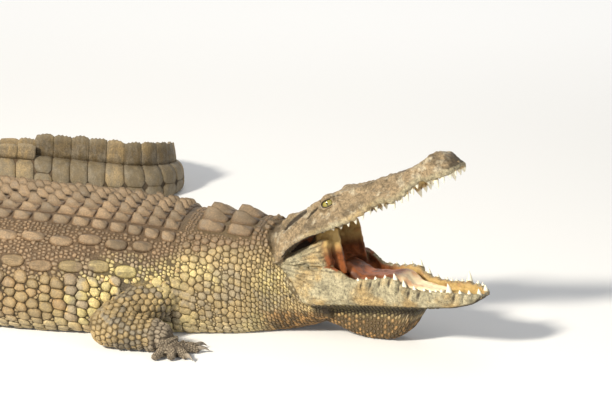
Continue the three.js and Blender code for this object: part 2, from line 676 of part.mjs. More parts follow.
function buildLeg(name, leg, side, trunkSolid) {
  const [root, bend, end] = [leg.root, leg.bend, leg.end].map(([s, out, z]) => (
    bodyPoint(s, side * out, z)));
  const radii = [leg.root[3], leg.bend[3], leg.end[3]];
  const back = new THREE.Vector3().subVectors(bodyPoint(leg.end[0] + 10, side * leg.end[1], 0),
    bodyPoint(leg.end[0], side * leg.end[1], 0));
  const forward = Math.atan2(-back.y, -back.x);
  const heading = forward + side * leg.palm.out * RAD;
  const ahead = (angle) => new THREE.Vector3(Math.cos(angle), Math.sin(angle), 0);

  let upper = limb(root, bend, radii[0], radii[1]);
  let lower = limb(bend, end, radii[1], radii[2]);
  const palmEnd = end.clone().addScaledVector(ahead(heading), leg.palm.length);
  palmEnd.z = leg.toeRadius * 0.8;
  let foot = limb(end, palmEnd, leg.palm.height, leg.palm.width * 0.5, 6, 0.62);
  const reach = end.clone().addScaledVector(ahead(heading), leg.palm.length * 0.8);
  leg.toes.forEach(([out, length, clawed], i) => {
    const angle = forward + side * out * RAD;
    const knuckle = reach.clone().addScaledVector(ahead(angle), leg.palm.width * 0.2);
    knuckle.z = leg.toeRadius * 1.25;
    const tip = knuckle.clone().addScaledVector(ahead(angle), length);
    tip.z = leg.toeRadius * 0.55;
    foot = foot.add(limb(knuckle, tip, leg.toeRadius, leg.toeRadius * 0.68, 5, 1, TOE_RINGS));
    if (clawed) {
      const clawRoot = tip.clone().addScaledVector(ahead(angle), leg.toeRadius * 0.4);
      clawRoot.z = leg.toeRadius * 0.75;
      const horn = onFloor(claw(clawRoot, ahead(angle), leg.toeRadius * 0.5));
      const sheath = claw(clawRoot, ahead(angle), leg.toeRadius * 0.5 + GAP);
      foot = foot.subtract(sheath);
      add(`${name}_claw_${i + 1}`, horn, COLOURS.claw, 0.45);
    }
  });
  [upper, lower] = partAt(bend, root, end, upper, lower);
  [lower, foot] = partAt(end, bend, palmEnd, lower, foot);
  const [shank, thigh] = [lower.subtract(trunkSolid), upper.subtract(trunkSolid)];
  add(`${name}_upper`, onFloor(thigh), COLOURS.leg);
  add(`${name}_lower`, onFloor(shank), COLOURS.leg);
  add(`${name}_foot`, onFloor(foot.subtract(trunkSolid)), COLOURS.leg);
}

/** The neck, trunk and root of the tail a little enlarged, for cutting the legs to. */
function trunkSleeve() {
  const starts = whorls();
  const root = tailLength(starts, 0, Math.round(starts.length / TAIL_LENGTHS), GAP);
  return neck(GAP).add(trunk(GAP)).add(root);
}

buildHead();
buildBody();
const sleeve = trunkSleeve();
[-1, 1].forEach((side) => {
  const hand = side < 0 ? 'right' : 'left';
  buildLeg(`foreleg_${hand}`, FORELEG, side, sleeve);
  buildLeg(`hindleg_${hand}`, HINDLEG, side, sleeve);
});

export default animal;
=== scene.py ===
"""The looks of a life-size Nile crocodile that lies basking on its belly with its jaws open.

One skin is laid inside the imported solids; scales, scutes, teeth, claws, tongue and eyes go on it.
Tables of sizes are in millimetres, as in the solids, and all that is built is in metres.
"""

from math import atan2, cos, pi, radians, sin

import bpy
import numpy as np
from bpy.props import FloatProperty, FloatVectorProperty, IntProperty, PointerProperty
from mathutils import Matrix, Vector
from mathutils.bvhtree import BVHTree
from mathutils.kdtree import KDTree
from numpy.linalg import norm


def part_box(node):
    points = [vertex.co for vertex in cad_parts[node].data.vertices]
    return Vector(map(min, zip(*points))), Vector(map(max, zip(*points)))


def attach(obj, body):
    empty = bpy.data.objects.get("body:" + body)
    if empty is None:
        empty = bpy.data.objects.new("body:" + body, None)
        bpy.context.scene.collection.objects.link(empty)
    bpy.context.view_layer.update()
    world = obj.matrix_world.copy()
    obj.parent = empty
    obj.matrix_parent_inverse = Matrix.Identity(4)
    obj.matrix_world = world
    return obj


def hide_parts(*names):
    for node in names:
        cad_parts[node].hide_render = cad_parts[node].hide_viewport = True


bl_info = {
    "name": "Nile Crocodile",
    "version": (1, 0, 0),
    "blender": (4, 5, 0),
    "location": "3D View > Sidebar > Crocodile",
    "description": "Builds the skin, scales and fine parts of a basking Nile crocodile",
    "category": "Object",
}

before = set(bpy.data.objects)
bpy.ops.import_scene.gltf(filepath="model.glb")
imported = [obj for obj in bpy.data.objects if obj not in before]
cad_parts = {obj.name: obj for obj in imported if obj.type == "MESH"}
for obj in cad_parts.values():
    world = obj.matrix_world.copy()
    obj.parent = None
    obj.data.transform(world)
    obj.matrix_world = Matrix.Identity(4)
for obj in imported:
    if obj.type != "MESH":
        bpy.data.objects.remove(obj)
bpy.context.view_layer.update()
MM = 0.001
SEED = 11

# ---- curves of the body


def profile(points, scale=MM):
    """A smooth curve through (place, value) pairs that never overshoots them. It takes arrays."""
    xs = np.array([p[0] for p in points], float) * MM
    ys = np.array([p[1] for p in points], float) * scale
    rise = np.diff(ys) / np.diff(xs)
    slope = np.zeros(len(xs))
    for i in range(1, len(xs) - 1):
        if rise[i - 1] * rise[i] > 0:
            slope[i] = 2 * rise[i - 1] * rise[i] / (rise[i - 1] + rise[i])

    def value(x):
        x = np.clip(np.asarray(x, float), xs[0], xs[-1])
        i = np.clip(np.searchsorted(xs, x, side="right") - 1, 0, len(xs) - 2)
        span = xs[i + 1] - xs[i]
        t = (x - xs[i]) / span
        ease = t * t * (3 - 2 * t)
        bend = span * t * (1 - t) * ((1 - t) * slope[i] - t * slope[i + 1])
        return ys[i] + (ys[i + 1] - ys[i]) * ease + bend

    return value


def fade(low, high, x):
    """A smooth rise from 0 at low to 1 at high, or a fall where high is the lower one."""
    t = np.clip((np.asarray(x, float) - low) / (high - low), 0, 1)
    return t * t * (3 - 2 * t)


def bell(x):
    """A round hill of height 1 that is about 1 wide on each side."""
    return np.exp(-x ** 2)


def unit(v):
    """A direction, or rows of them, of length 1."""
    return v / norm(v, axis=-1, keepdims=True)


def circle(count):
    """Angles evenly round a circle."""
    return np.linspace(0, 2 * pi, count, endpoint=False)


def dice(number):
    """A source of random numbers that gives the same ones on every run."""
    return np.random.default_rng(SEED + number)


def ripple(points, length, seed):
    """Smooth noise from -1 to 1 in space, made of a few crossing waves of about that length."""
    draw, waves = np.random.default_rng(seed), 7
    total = np.zeros(len(points))
    for _ in range(waves):
        way = draw.normal(size=3)
        way *= draw.uniform(0.7, 1.5) / norm(way)
        total += np.sin(points @ way * (2 * pi / length) + draw.uniform(0, 7))
    return total / waves ** 0.5 / 1.6


UPPER_PITCH = radians(31.6)
LOWER_PITCH = radians(-4)
EYE_X, EYE_OUT, EYE_Z, EYE_RADIUS = 0.185, 0.066, 0.076, 0.017
LID_RADIUS = 0.0225
LID_OPENING = (0.0225, 0.0180)


def between_eyes():
    """The point midway between the eyeballs of the frame."""
    corners = [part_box("eye_right"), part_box("eye_left")]
    return sum((low + high for low, high in corners), Vector()) / 4


# The jaw joint lies behind and below the eyes, along the tipped upper jaw.
JOINT = np.array(between_eyes() - Vector((
    EYE_X * cos(UPPER_PITCH) - EYE_Z * sin(UPPER_PITCH), 0,
    EYE_X * sin(UPPER_PITCH) + EYE_Z * cos(UPPER_PITCH))))

SPINE_START = -0.200
SPINE_STEP = 0.005
HEADING = profile([
    (-200, 180), (-40, 182), (150, 196), (450, 195), (700, 187), (900, 177), (1100, 163),
    (1300, 149), (1450, 135), (1700, 121), (1930, 90), (2140, 46), (2280, 29), (2605, 27),
    (2725, 62), (2885, 120), (3100, 150), (3400, 170)], scale=1)
HALF_WIDTH = profile([
    (-130, 98), (-40, 112), (20, 128), (80, 156), (130, 178), (270, 212), (400, 246), (620, 288),
    (860, 304), (1100, 282), (1300, 222), (1430, 168), (1700, 126), (2100, 88), (2450, 60),
    (2800, 38), (3100, 21), (3330, 7)])
TOP = profile([
    (-130, 205), (0, 266), (60, 278), (150, 282), (270, 288), (400, 298), (620, 308), (860, 306),
    (1100, 294), (1300, 272), (1430, 248), (1700, 214), (2100, 172), (2450, 138), (2800, 100),
    (3100, 58), (3330, 20)])
WIDEST_LEVEL = profile([
    (-130, 130), (0, 124), (270, 122), (860, 116), (1430, 108), (2100, 80), (2800, 44),
    (3330, 9)])
UNDERSIDE = profile([
    (-130, 34), (-60, 12), (0, -4), (60, -14), (160, -20), (400, -24), (1300, -24),
    (1500, -16), (2100, -10), (2800, -5), (3330, -1)])
FULLNESS_TOP, FULLNESS_BOTTOM = 2.3, 3.3
BODY_FRONT, TAIL_END = -0.130, 3.330

NUCHAL_START, NUCHAL_PITCH, NUCHAL_COLUMN = 0.105, 0.078, 0.062
DORSAL_START, DORSAL_ROWS, DORSAL_COLUMN = 0.300, 21, 0.043
DORSAL_PITCHES = (0.043, 0.065)
TAIL_PLATE = 0.085
TAIL_START = DORSAL_START + DORSAL_ROWS * sum(DORSAL_PITCHES) / 2
WHORL_PITCHES = (0.064, 0.044)
CREST_MERGES = 2.405
CREST_HEIGHT = profile([
    (1434, 16), (1800, 26), (2350, 38), (2440, 68), (2700, 68), (2900, 50), (3200, 28),
    (3330, 8)])
CREST_SPREAD = profile([(1434, 62), (1800, 50), (2200, 36), (2405, 28)])

UPPER_BACK, UPPER_TIP = -0.045, 0.549
LIP_HALF_WIDTH = profile([
    (-45, 104), (0, 134), (60, 138), (120, 131), (180, 115), (240, 97), (290, 86), (350, 84),
    (400, 76), (434, 58), (452, 52), (478, 58), (506, 59), (526, 50), (541, 33), (549, 12)])
LIP = profile([
    (-45, 8), (0, -2), (60, 18), (110, 21), (160, 14), (240, 6), (300, 11), (335, 12),
    (365, -2), (400, 2), (443, 13), (478, 3), (506, 0), (535, -4), (549, -4)])
CROWN = profile([
    (-45, 50), (0, 74), (33, 92), (60, 93), (100, 92), (150, 93), (190, 96), (225, 88),
    (260, 80), (325, 69), (400, 60), (442, 58), (484, 61), (518, 53), (538, 36), (549, 14)])
CROWN_HALF_WIDTH = profile([
    (-45, 40), (0, 56), (40, 72), (100, 72), (150, 67), (190, 62), (230, 50), (300, 42),
    (400, 38), (452, 34), (484, 34), (526, 24), (549, 6)])

LOWER_BACK, LOWER_TIP = -0.060, 0.541
JAW_HALF_WIDTH = profile([
    (-60, 92), (-30, 112), (0, 124), (60, 128), (120, 121), (200, 103), (280, 86), (340, 79),
    (400, 72), (436, 68), (468, 68), (502, 57), (526, 38), (541, 14)])
JAW_TOP = profile([
    (-60, -16), (0, -6), (100, -6), (142, 12), (175, 0), (204, -13), (250, -8), (308, 6),
    (354, -13), (408, -12), (450, -6), (507, 0), (541, -4)])
JAW_BOTTOM = profile([
    (-60, -34), (-20, -52), (20, -78), (97, -101), (170, -90), (326, -69), (434, -51),
    (525, -26), (541, -12)])
POUCH_DROP = profile([
    (-60, 20), (60, 40), (130, 60), (190, 86), (250, 100), (300, 97), (335, 76), (358, 34),
    (376, 10), (410, 3), (541, 0)])

# Teeth from the snout tip back: place along the jaw, then bare length.
UPPER_TEETH = [
    (539, 14), (528, 15), (511, 21), (490, 30), (468, 12), (434, 15), (420, 20), (404, 22),
    (386, 18), (362, 22), (336, 14), (314, 14), (290, 15), (268, 16), (246, 15), (226, 12),
    (206, 10), (186, 7)]
LOWER_TEETH = [
    (532, 20), (514, 13), (494, 13), (466, 32), (446, 12), (430, 11), (415, 12), (399, 13),
    (372, 16), (344, 24), (318, 24), (290, 15), (266, 13), (242, 12), (220, 10)]

# The skin over the jaw muscle in the corners of the mouth, and the hollow between the jaws.
# (forward of the joint, half width, half height)
CHEEK = [(-30, 20, 5), (30, 30, 15), (80, 30, 27), (120, 26, 40), (138, 14, 38)]
CHEEK_OUT, CHEEK_TAPER = 0.098, 0.12
CHEEK_TOP = profile([(x, high) for x, _, high in CHEEK])
HOLLOW = [(62, 20, 10), (100, 62, 29), (150, 84, 46), (230, 120, 85)]
CURTAIN, CURTAIN_OUT = [(58, 9, 26), (90, 9, 50), (125, 8, 60), (160, 4, 62)], 0.058
MOUTH_PITCH = (UPPER_PITCH + LOWER_PITCH) / 2

# Legs: distance along the spine, distance out, height, radius. Toes: degrees out, length, clawed.
FORELEG = {
    "root": (322, 172, 112, 56), "bend": (432, 332, 56, 54), "end": (296, 338, 42, 38),
    "palm": (50, 66, 34), "palm_out": 22, "toe": 15,
    "toes": [(-46, 56, 1), (-20, 48, 1), (42, 46, 1), (78, 46, 0), (114, 58, 0)]}
HINDLEG = {
    "root": (1265, 140, 130, 88), "bend": (1075, 330, 104, 68), "end": (1235, 392, 50, 44),
    "palm": (118, 74, 42), "palm_out": 36, "toe": 17,
    "toes": [(12, 74, 1), (28, 88, 1), (44, 84, 1), (64, 66, 0)]}
CLAW_LENGTH, CLAW_DROP = 0.030, 0.007

# ---- sizes and colours to change


def size(name, text, default, top=0.1):
    return FloatProperty(name=name, description=text, default=default, min=0, max=top,
                         unit="LENGTH", subtype="DISTANCE")


def colour(name, text, default):
    return FloatVectorProperty(name=name, description=text, default=default, size=3, min=0,
                               max=1, subtype="COLOR")


class CrocodileSizes(bpy.types.PropertyGroup):
    coat: size("Coat depth", "How far the skin lies inside the solids under the scales", 0.004)
    voxel: size("Skin grain", "Edge length of the skin's mesh before it is thinned out", 0.0033)
    scute: size("Scute thickness", "How far the plates of the back stand off the skin", 0.0036)
    keel: size("Back keel", "Height of the keels on the back", 0.025)
    flank_scale: size("Flank scale", "Length of the large round scales of the flank", 0.0265)
    flank_rise: FloatProperty(name="Flank scale rise", default=0.42, min=0, max=1,
                              description="Height of flank scales over half their width")
    belly_scale: size("Belly scale", "Length of the smooth scales of the belly", 0.029)
    neck_scale: size("Neck scale", "Length of the scales on the side of the neck", 0.015)
    leg_scale: size("Leg scale", "Length of the scales on the legs", 0.0165)
    hand_scale: size("Hand scale", "Length of the scales on hands and feet", 0.0085)
    throat_scale: size("Throat scale", "Length of the scales under the jaw", 0.0105)
    bead: size("Bead", "Radius of the beads between the flank scales", 0.0036)
    skin_faces: IntProperty(name="Skin faces", description="Triangles left in the skin",
                            default=190000, min=20000, max=199000)


class CrocodileColours(bpy.types.PropertyGroup):
    back: colour("Back", "Dry scutes of the back", (0.200, 0.127, 0.069))
    flank: colour("Flank", "Yellow scales of the flank", (0.610, 0.500, 0.215))
    amber: colour("Amber", "Browner scales among the yellow ones", (0.410, 0.265, 0.102))
    patch: colour("Slate", "Grey patches among the flank scales", (0.225, 0.190, 0.140))
    neck: colour("Neck", "Scales of the neck", (0.412, 0.300, 0.142))
    mud: colour("Mud", "Dried mud on the flank", (0.218, 0.139, 0.067))
    groove: colour("Grooves", "Skin in the grooves between scales", (0.050, 0.033, 0.018))
    belly: colour("Belly", "Scales of the belly", (0.600, 0.500, 0.300))
    head: colour("Head", "Skin of the head", (0.372, 0.272, 0.158))
    jaw: colour("Jaw", "Sides of the lower jaw", (0.540, 0.470, 0.300))
    throat: colour("Throat", "Fine scales of the pouch under the jaw", (0.205, 0.112, 0.038))
    mouth: colour("Mouth", "Lining of the mouth", (0.300, 0.090, 0.024))
    curtain: colour("Mouth folds", "Pale folds in the corners of the mouth",
                    (0.540, 0.370, 0.140))
    tongue: colour("Tongue", "Front of the tongue and floor of the mouth", (0.920, 0.760, 0.480))
    limb: colour("Legs", "Scales of the legs", (0.455, 0.320, 0.143))
    hand: colour("Hands", "Grey skin of hands and feet", (0.230, 0.182, 0.128))
    tail: colour("Tail", "Light rings of the tail", (0.310, 0.216, 0.101))
    tooth: colour("Teeth", "Ivory of the teeth", (0.820, 0.770, 0.610))
    claw: colour("Claws", "Horn of the claws", (0.300, 0.250, 0.190))
    iris: colour("Iris", "Iris of the eye", (0.330, 0.275, 0.050))
    ground: colour("Ground", "Floor and backdrop", (0.840, 0.835, 0.825))


def sizes():
    return bpy.context.scene.crocodile_sizes


def colours():
    return bpy.context.scene.crocodile_colours


# ---- body surface


def walk_spine():
    """Distances along the spine, its points and its headings, from the jaw joint back."""
    s = np.arange(SPINE_START, TAIL_END + 0.060, SPINE_STEP)
    angle = np.radians(HEADING(s))
    x = JOINT[0] - SPINE_START + np.concatenate([[0], np.cumsum(np.cos(angle[:-1]))]) * SPINE_STEP
    y = JOINT[1] + np.concatenate([[0], np.cumsum(np.sin(angle[:-1]))]) * SPINE_STEP
    return s, x, y, angle


SPINE_S, SPINE_X, SPINE_Y, SPINE_ANGLE = walk_spine()


def body_point(s, out, z):
    """World points at a distance along the spine, out to its left (+) or right (-), and height."""
    x = np.interp(s, SPINE_S, SPINE_X)
    y = np.interp(s, SPINE_S, SPINE_Y)
    angle = np.interp(s, SPINE_S, SPINE_ANGLE)
    return np.stack(np.broadcast_arrays(x + np.sin(angle) * out, y - np.cos(angle) * out, z), -1)


def body_place(points):
    """The nearest place on the body's spine: distance along it and distance out, in metres."""
    pick = slice(None, None, 4)
    sx, sy, ss, sa = SPINE_X[pick], SPINE_Y[pick], SPINE_S[pick], SPINE_ANGLE[pick]
    reach = HALF_WIDTH(ss)
    along, out = np.zeros(len(points)), np.zeros(len(points))
    for start in range(0, len(points), 20000):
        p = points[start:start + 20000]
        dx, dy = p[:, :1] - sx, p[:, 1:2] - sy
        i = np.argmin(np.hypot(dx, dy) - reach, axis=1)
        row = np.arange(len(p))
        dx, dy, a = dx[row, i], dy[row, i], sa[i]
        along[start:start + 20000] = ss[i] + dx * np.cos(a) + dy * np.sin(a)
        out[start:start + 20000] = dx * np.sin(a) - dy * np.cos(a)
    return along, out


SECTION_STEP, SECTION_POINTS = 0.010, 65


def half_sections():
    """Half of the body's outline at even steps of arc from the back's midline to the belly's."""
    stations = np.arange(BODY_FRONT, TAIL_END + 1e-6, SECTION_STEP)
    angle = np.linspace(0, pi / 2, 100)
    upper, lower = 2 / FULLNESS_TOP, 2 / FULLNESS_BOTTOM
    outs, heights, girths = [], [], []
    for s in stations:
        half, level, top, under = HALF_WIDTH(s), WIDEST_LEVEL(s), TOP(s), UNDERSIDE(s)
        out = np.concatenate([half * np.sin(angle) ** upper, half * np.cos(angle[1:]) ** lower])
        z = np.concatenate([level + (top - level) * np.cos(angle) ** upper,
                            level - (level - under) * np.sin(angle[1:]) ** lower])
        z = np.maximum(z, 0)
        arc = np.concatenate([[0], np.cumsum(np.hypot(np.diff(out), np.diff(z)))])
        even = np.linspace(0, arc[-1], SECTION_POINTS)
        outs.append(np.interp(even, arc, out))
        heights.append(np.interp(even, arc, z))
        girths.append(arc[-1])
    return stations, np.array(outs), np.array(heights), np.array(girths)


STATIONS, SECTION_OUT, SECTION_Z, GIRTH = half_sections()


def girth(s):
    """Length of half of the body's outline, from the back's midline round to the belly's."""
    return np.interp(s, STATIONS, GIRTH)


def body_surface(s, arc):
    """World points on the body, arc metres round from the back's midline, left (+) or right (-)."""
    s = np.asarray(s, float)
    share = np.clip(np.abs(arc) / girth(s), 0, 1) * (SECTION_POINTS - 1)
    row = np.clip((s - BODY_FRONT) / SECTION_STEP, 0, len(STATIONS) - 1.001)
    i, j = row.astype(int), np.minimum(share.astype(int), SECTION_POINTS - 2)
    u, v = row - i, share - j

    def blend(table):
        front = table[i, j] * (1 - v) + table[i, j + 1] * v
        back = table[i + 1, j] * (1 - v) + table[i + 1, j + 1] * v
        return front * (1 - u) + back * u

    return body_point(s, np.sign(arc) * blend(SECTION_OUT), blend(SECTION_Z))


def normals_of(surface, a, b):
    """Outward directions of a surface of two numbers, from points a little to each side."""
    step = 0.004
    along = surface(a + step, b) - surface(a - step, b)
    round_ = surface(a, b + step) - surface(a, b - step)
    normal = np.cross(round_, along)
    return normal / (norm(normal, axis=-1, keepdims=True) + 1e-12)


# ---- jaws


def tipped(pitch, x, out, z):
    """Points of a jaw, whose x runs forward, as they lie when it is tipped by its pitch."""
    c, s = cos(pitch), sin(pitch)
    return np.stack(np.broadcast_arrays(x * c - z * s, out, x * s + z * c), -1)


def jaw_point(pitch, x, out, z):
    """World points of a jaw, forward from the joint, out and up."""
    return tipped(pitch, x, out, z) + JOINT


def jaw_place(pitch, points):
    """x, out and z of world points in the frame of a jaw."""
    c, s = cos(pitch), sin(pitch)
    d = points - JOINT
    return d[:, 0] * c + d[:, 2] * s, d[:, 1], -d[:, 0] * s + d[:, 2] * c


def jaw_places(points):
    """The same for the upper jaw, the lower jaw and the mouth between them."""
    return [jaw_place(pitch, points) for pitch in (UPPER_PITCH, LOWER_PITCH, MOUTH_PITCH)]


def smooth_ring(points, per):
    """Closed outlines (rows, corners, 2) rounded to per points for each corner."""
    t = np.linspace(0, 1, per, endpoint=False)[None, None, :, None]
    p0, p1, p2, p3 = (np.roll(points, k, axis=1)[:, :, None] for k in (1, 0, -1, -2))
    curve = 0.5 * (2 * p1 + (p2 - p0) * t + (2 * p0 - 5 * p1 + 4 * p2 - p3) * t ** 2
                   + (3 * p1 - p0 - 3 * p2 + p3) * t ** 3)
    return curve.reshape(len(points), -1, 2)


def mirrored(half):
    """Whole outlines from halves given from the midline below to the midline above."""
    half = np.stack([np.stack(np.broadcast_arrays(*p), -1) for p in half], 1)
    other = half[:, -2:0:-1] * np.array([-1, 1])
    return np.concatenate([half, other], 1)


def upper_sections(x):
    lip, wide, crown = LIP(x), LIP_HALF_WIDTH(x), CROWN(x)
    crown_wide = np.minimum(CROWN_HALF_WIDTH(x), wide * 0.85)
    rim = np.minimum(0.012, 0.25 * wide)
    palate = lip + 0.014 * np.minimum(1, wide / 0.060)
    shoulder = crown - 0.08 * (crown - lip)
    return mirrored([
        (0 * x, palate), (0.55 * wide, palate - 0.16 * rim), (wide * 0.88, lip + 0.4 * rim),
        (wide - 0.25 * rim, lip), (wide + 0.1 * rim, lip + rim),
        (crown_wide + (wide - crown_wide) * 0.62, lip + (shoulder - lip) * 0.6),
        (crown_wide, shoulder), (0.55 * crown_wide, crown - 0.0015), (0 * x, crown)])


def lower_sections(x):
    wide, top, bottom, pouch = JAW_HALF_WIDTH(x), JAW_TOP(x), JAW_BOTTOM(x), POUCH_DROP(x)
    rim = np.minimum(0.007, 0.15 * wide)
    thick = 0.027 + np.maximum(0, 0.150 - x) * 0.12
    wall = np.maximum(2.2 * rim, np.minimum(0.42 * wide, thick))
    depth = np.minimum(0.024, 0.45 * (top - bottom)) * np.minimum(1, wide / 0.050)
    return mirrored([
        (0 * x, bottom - pouch), (0.48 * wide, bottom - pouch * 0.90),
        (0.62 * wide, bottom - pouch * 0.22), (wide * 0.94, bottom + 0.06 * (top - bottom)),
        (wide + 0.4 * rim, (top + bottom) / 2), (wide - 0.5 * rim, top),
        (wide - wall * 0.75, top - 0.001), (wide - wall, top - depth * 0.9),
        (0 * x, top - depth)])


# ---- mesh helpers


def grid_faces(rows, columns, closed=True):
    """Quads of a grid of points whose rows may be closed rings."""
    i = np.arange(rows - 1)[:, None] * columns
    j = np.arange(columns if closed else columns - 1)[None, :]
    k = (j + 1) % columns
    return np.stack([i + j, i + k, i + columns + k, i + columns + j], -1).reshape(-1, 4)


def tube(rings):
    """Points and faces of a closed form through rings, with a point amid each end."""
    rows, columns = rings.shape[:2]
    points = np.concatenate([rings.reshape(-1, 3), rings[:1].mean(1), rings[-1:].mean(1)])
    j, last, first = np.arange(columns), (rows - 1) * columns, rows * columns
    k = (j + 1) % columns
    front = np.stack([k, j, 0 * j + first], -1)
    back = np.stack([last + j, last + k, 0 * j + first + 1], -1)
    return points, grid_faces(rows, columns).tolist() + front.tolist() + back.tolist()


def gather(forms):
    """Joins forms, each with points, faces and arrays with a row for each point, in one."""
    points, faces, *rest = zip(*forms)
    start, joined = 0, []
    for own, some in zip(points, faces):
        joined += [[k + start for k in face] for face in some]
        start += len(own)
    return [np.concatenate(points), joined, *map(np.concatenate, rest)]


def new_object(name, points, faces):
    """A mesh object made of points and faces."""
    mesh = bpy.data.meshes.new(name)
    mesh.from_pydata(np.asarray(points, float).tolist(), [], faces)
    mesh.validate()
    obj = bpy.data.objects.new(name, mesh)
    bpy.context.scene.collection.objects.link(obj)
    return obj


def closed_form(name, points, faces):
    """A smooth form made of points and faces, with its faces turned outward."""
    obj = new_object(name, points, faces)
    obj.data.shade_smooth()
    bpy.context.view_layer.objects.active = obj
    obj.select_set(True)
    bpy.ops.object.mode_set(mode="EDIT")
    bpy.ops.mesh.select_all(action="SELECT")
    bpy.ops.mesh.normals_make_consistent(inside=False)
    bpy.ops.object.mode_set(mode="OBJECT")
    obj.select_set(False)
    return obj


def join(name, objects):
    """Several mesh objects as one."""
    with bpy.context.temp_override(active_object=objects[0], selected_editable_objects=objects):
        bpy.ops.object.join()
    objects[0].name = name
    objects[0].data.name = name
    return objects[0]


def apply_modifier(obj, kind, **settings):
    """Adds a modifier with these settings and makes its result the mesh."""
    modifier = obj.modifiers.new(kind.lower(), kind)
    for key, value in settings.items():
        setattr(modifier, key, value)
    with bpy.context.temp_override(object=obj, active_object=obj):
        bpy.ops.object.modifier_apply(modifier=modifier.name)


def read_points(mesh, key="co"):
    """The place of each point of a mesh, or its normal."""
    values = np.zeros(len(mesh.vertices) * 3, np.float32)
    mesh.vertices.foreach_get(key, values)
    return values.reshape(-1, 3).astype(float)


def set_coordinates(mesh, points):
    mesh.vertices.foreach_set("co", np.asarray(points, np.float32).ravel())
    mesh.update()


def mark(obj, name, values):
    """Stores one number for each point of a mesh, for its material to read."""
    attribute = obj.data.attributes.new(name, "FLOAT", "POINT")
    values = np.broadcast_to(np.asarray(values, np.float32), len(obj.data.vertices))
    attribute.data.foreach_set("value", np.ascontiguousarray(values))


def finish_piece(obj, material, slot, *nodes):
    """Gives a piece its material, hangs it on the root of the frame and hides the solids that it
    stands for.
    """
    obj.data.materials.clear()
    obj.data.materials.append(material)
    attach(obj, "root")
    if nodes:
        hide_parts(*nodes)


# ---- flesh under the scales

JAW_STEP, JAW_INSET = 0.004, 0.0012


def drawn_in(rings, depth):
    """Rings drawn in towards their middles by a depth."""
    middle = rings.mean(1, keepdims=True)
    reach = norm(rings - middle, axis=-1, keepdims=True)
    return middle + (rings - middle) * (1 - np.minimum(depth / reach, 0.5))


def body_flesh(front, back, step, depth):
    """The neck, trunk and tail between two distances, drawn in by the depth of the scales."""
    s = np.arange(front, back + 1e-6, step)
    half = girth(s)[:, None] * np.linspace(0, 1, 45)
    left, right = (body_surface(s[:, None] + 0 * half, half * side) for side in (1, -1))
    rings = drawn_in(np.concatenate([left, right[:, -2:0:-1]], 1), depth)
    rings[..., 2] = np.maximum(rings[..., 2], 0.0004)
    return tube(rings)


def jaw_flesh(sections, pitch, back, tip):
    """The loft of one jaw, drawn in a little all round."""
    x = np.append(np.arange(back, tip - JAW_STEP / 2, JAW_STEP), tip)
    rings = drawn_in(smooth_ring(sections(x), 8), JAW_INSET)
    return tube(jaw_point(pitch, x[:, None], rings[..., 0], rings[..., 1]))


def gape_flesh(ellipses, aside=0.0, slant=0.0):
    """A loft of ellipses between the jaws, as far out as aside and slant say."""
    x = np.linspace(ellipses[0][0], ellipses[-1][0], 24) * MM
    wide = profile([(e[0], e[1]) for e in ellipses])(x)
    high = profile([(e[0], e[2]) for e in ellipses])(x)
    turn = circle(28)
    out = (aside + slant * x)[:, None] + wide[:, None] * np.cos(turn)
    return tube(jaw_point(MOUTH_PITCH, x[:, None], out, high[:, None] * np.sin(turn)))


def limb_surface(form):
    """A form of a leg as a surface of the distance along it and the arc round it from the top.

    Its length and its mean radius are given too.
    """
    start, end, radii, flat, bulge = form
    axis, length, mean = unit(end - start), norm(end - start), (radii[0] + radii[1]) / 2
    across = unit(np.cross([0, 0, 1], axis))
    up = np.cross(axis, across)

    def surface(a, b):
        t = np.clip(a / length, 0, 1)
        radius = (radii[0] + (radii[1] - radii[0]) * t) * (1 + bulge * np.sin(pi * t))
        beyond = np.where(a < 0, -a / radii[0], np.where(a > length, (a - length) / radii[1], 0))
        radius = radius * np.sqrt(np.clip(1 - beyond ** 2, 0.02, 1))
        turn = -b / mean
        ring = across * np.sin(turn)[..., None] + up * flat * np.cos(turn)[..., None]
        return start + axis * a[..., None] + ring * radius[..., None]

    return surface, length, mean


def limb_rings(form):
    """Rings of a form of a leg, from one of its round ends to the other."""
    surface, length, mean = limb_surface(form)
    near, far = form[2]
    cap = np.linspace(-0.98, -0.12, 6)
    at = np.concatenate([cap * near, np.linspace(0, 1, 16) * length, length - cap[::-1] * far])
    return surface(at[:, None], (circle(32) - pi / 2) * mean)


def leg_joints(leg, side):
    """Root, bend and end of a leg as world points, with their radii."""
    s, out, z, radii = np.array([leg[k] for k in ("root", "bend", "end")]).T * MM
    return body_point(s, side * out, z), radii


def leg_ahead(leg, side, degrees):
    """A level direction so many degrees out from straight ahead at the leg's wrist."""
    s, out = leg["end"][0] * MM, leg["end"][1] * MM
    back = body_point(s + 0.010, side * out, 0.0) - body_point(s, side * out, 0.0)
    angle = atan2(-back[1], -back[0]) + side * radians(degrees)
    return np.array([cos(angle), sin(angle), 0.0])


def toe_lines(leg, side):
    """Knuckle, tip and direction of each toe, and whether it bears a claw."""
    wrist, radius = leg_joints(leg, side)[0][2], leg["toe"] * MM
    length, width, _ = np.array(leg["palm"]) * MM
    reach = wrist + leg_ahead(leg, side, leg["palm_out"]) * length * 0.8
    lines = []
    for degrees, toe, clawed in leg["toes"]:
        ahead = leg_ahead(leg, side, degrees)
        knuckle = reach + ahead * width * 0.2
        knuckle[2] = radius * 1.25
        tip = knuckle + ahead * toe * MM
        tip[2] = radius * 0.62
        lines.append((knuckle, tip, ahead, clawed))
    return lines


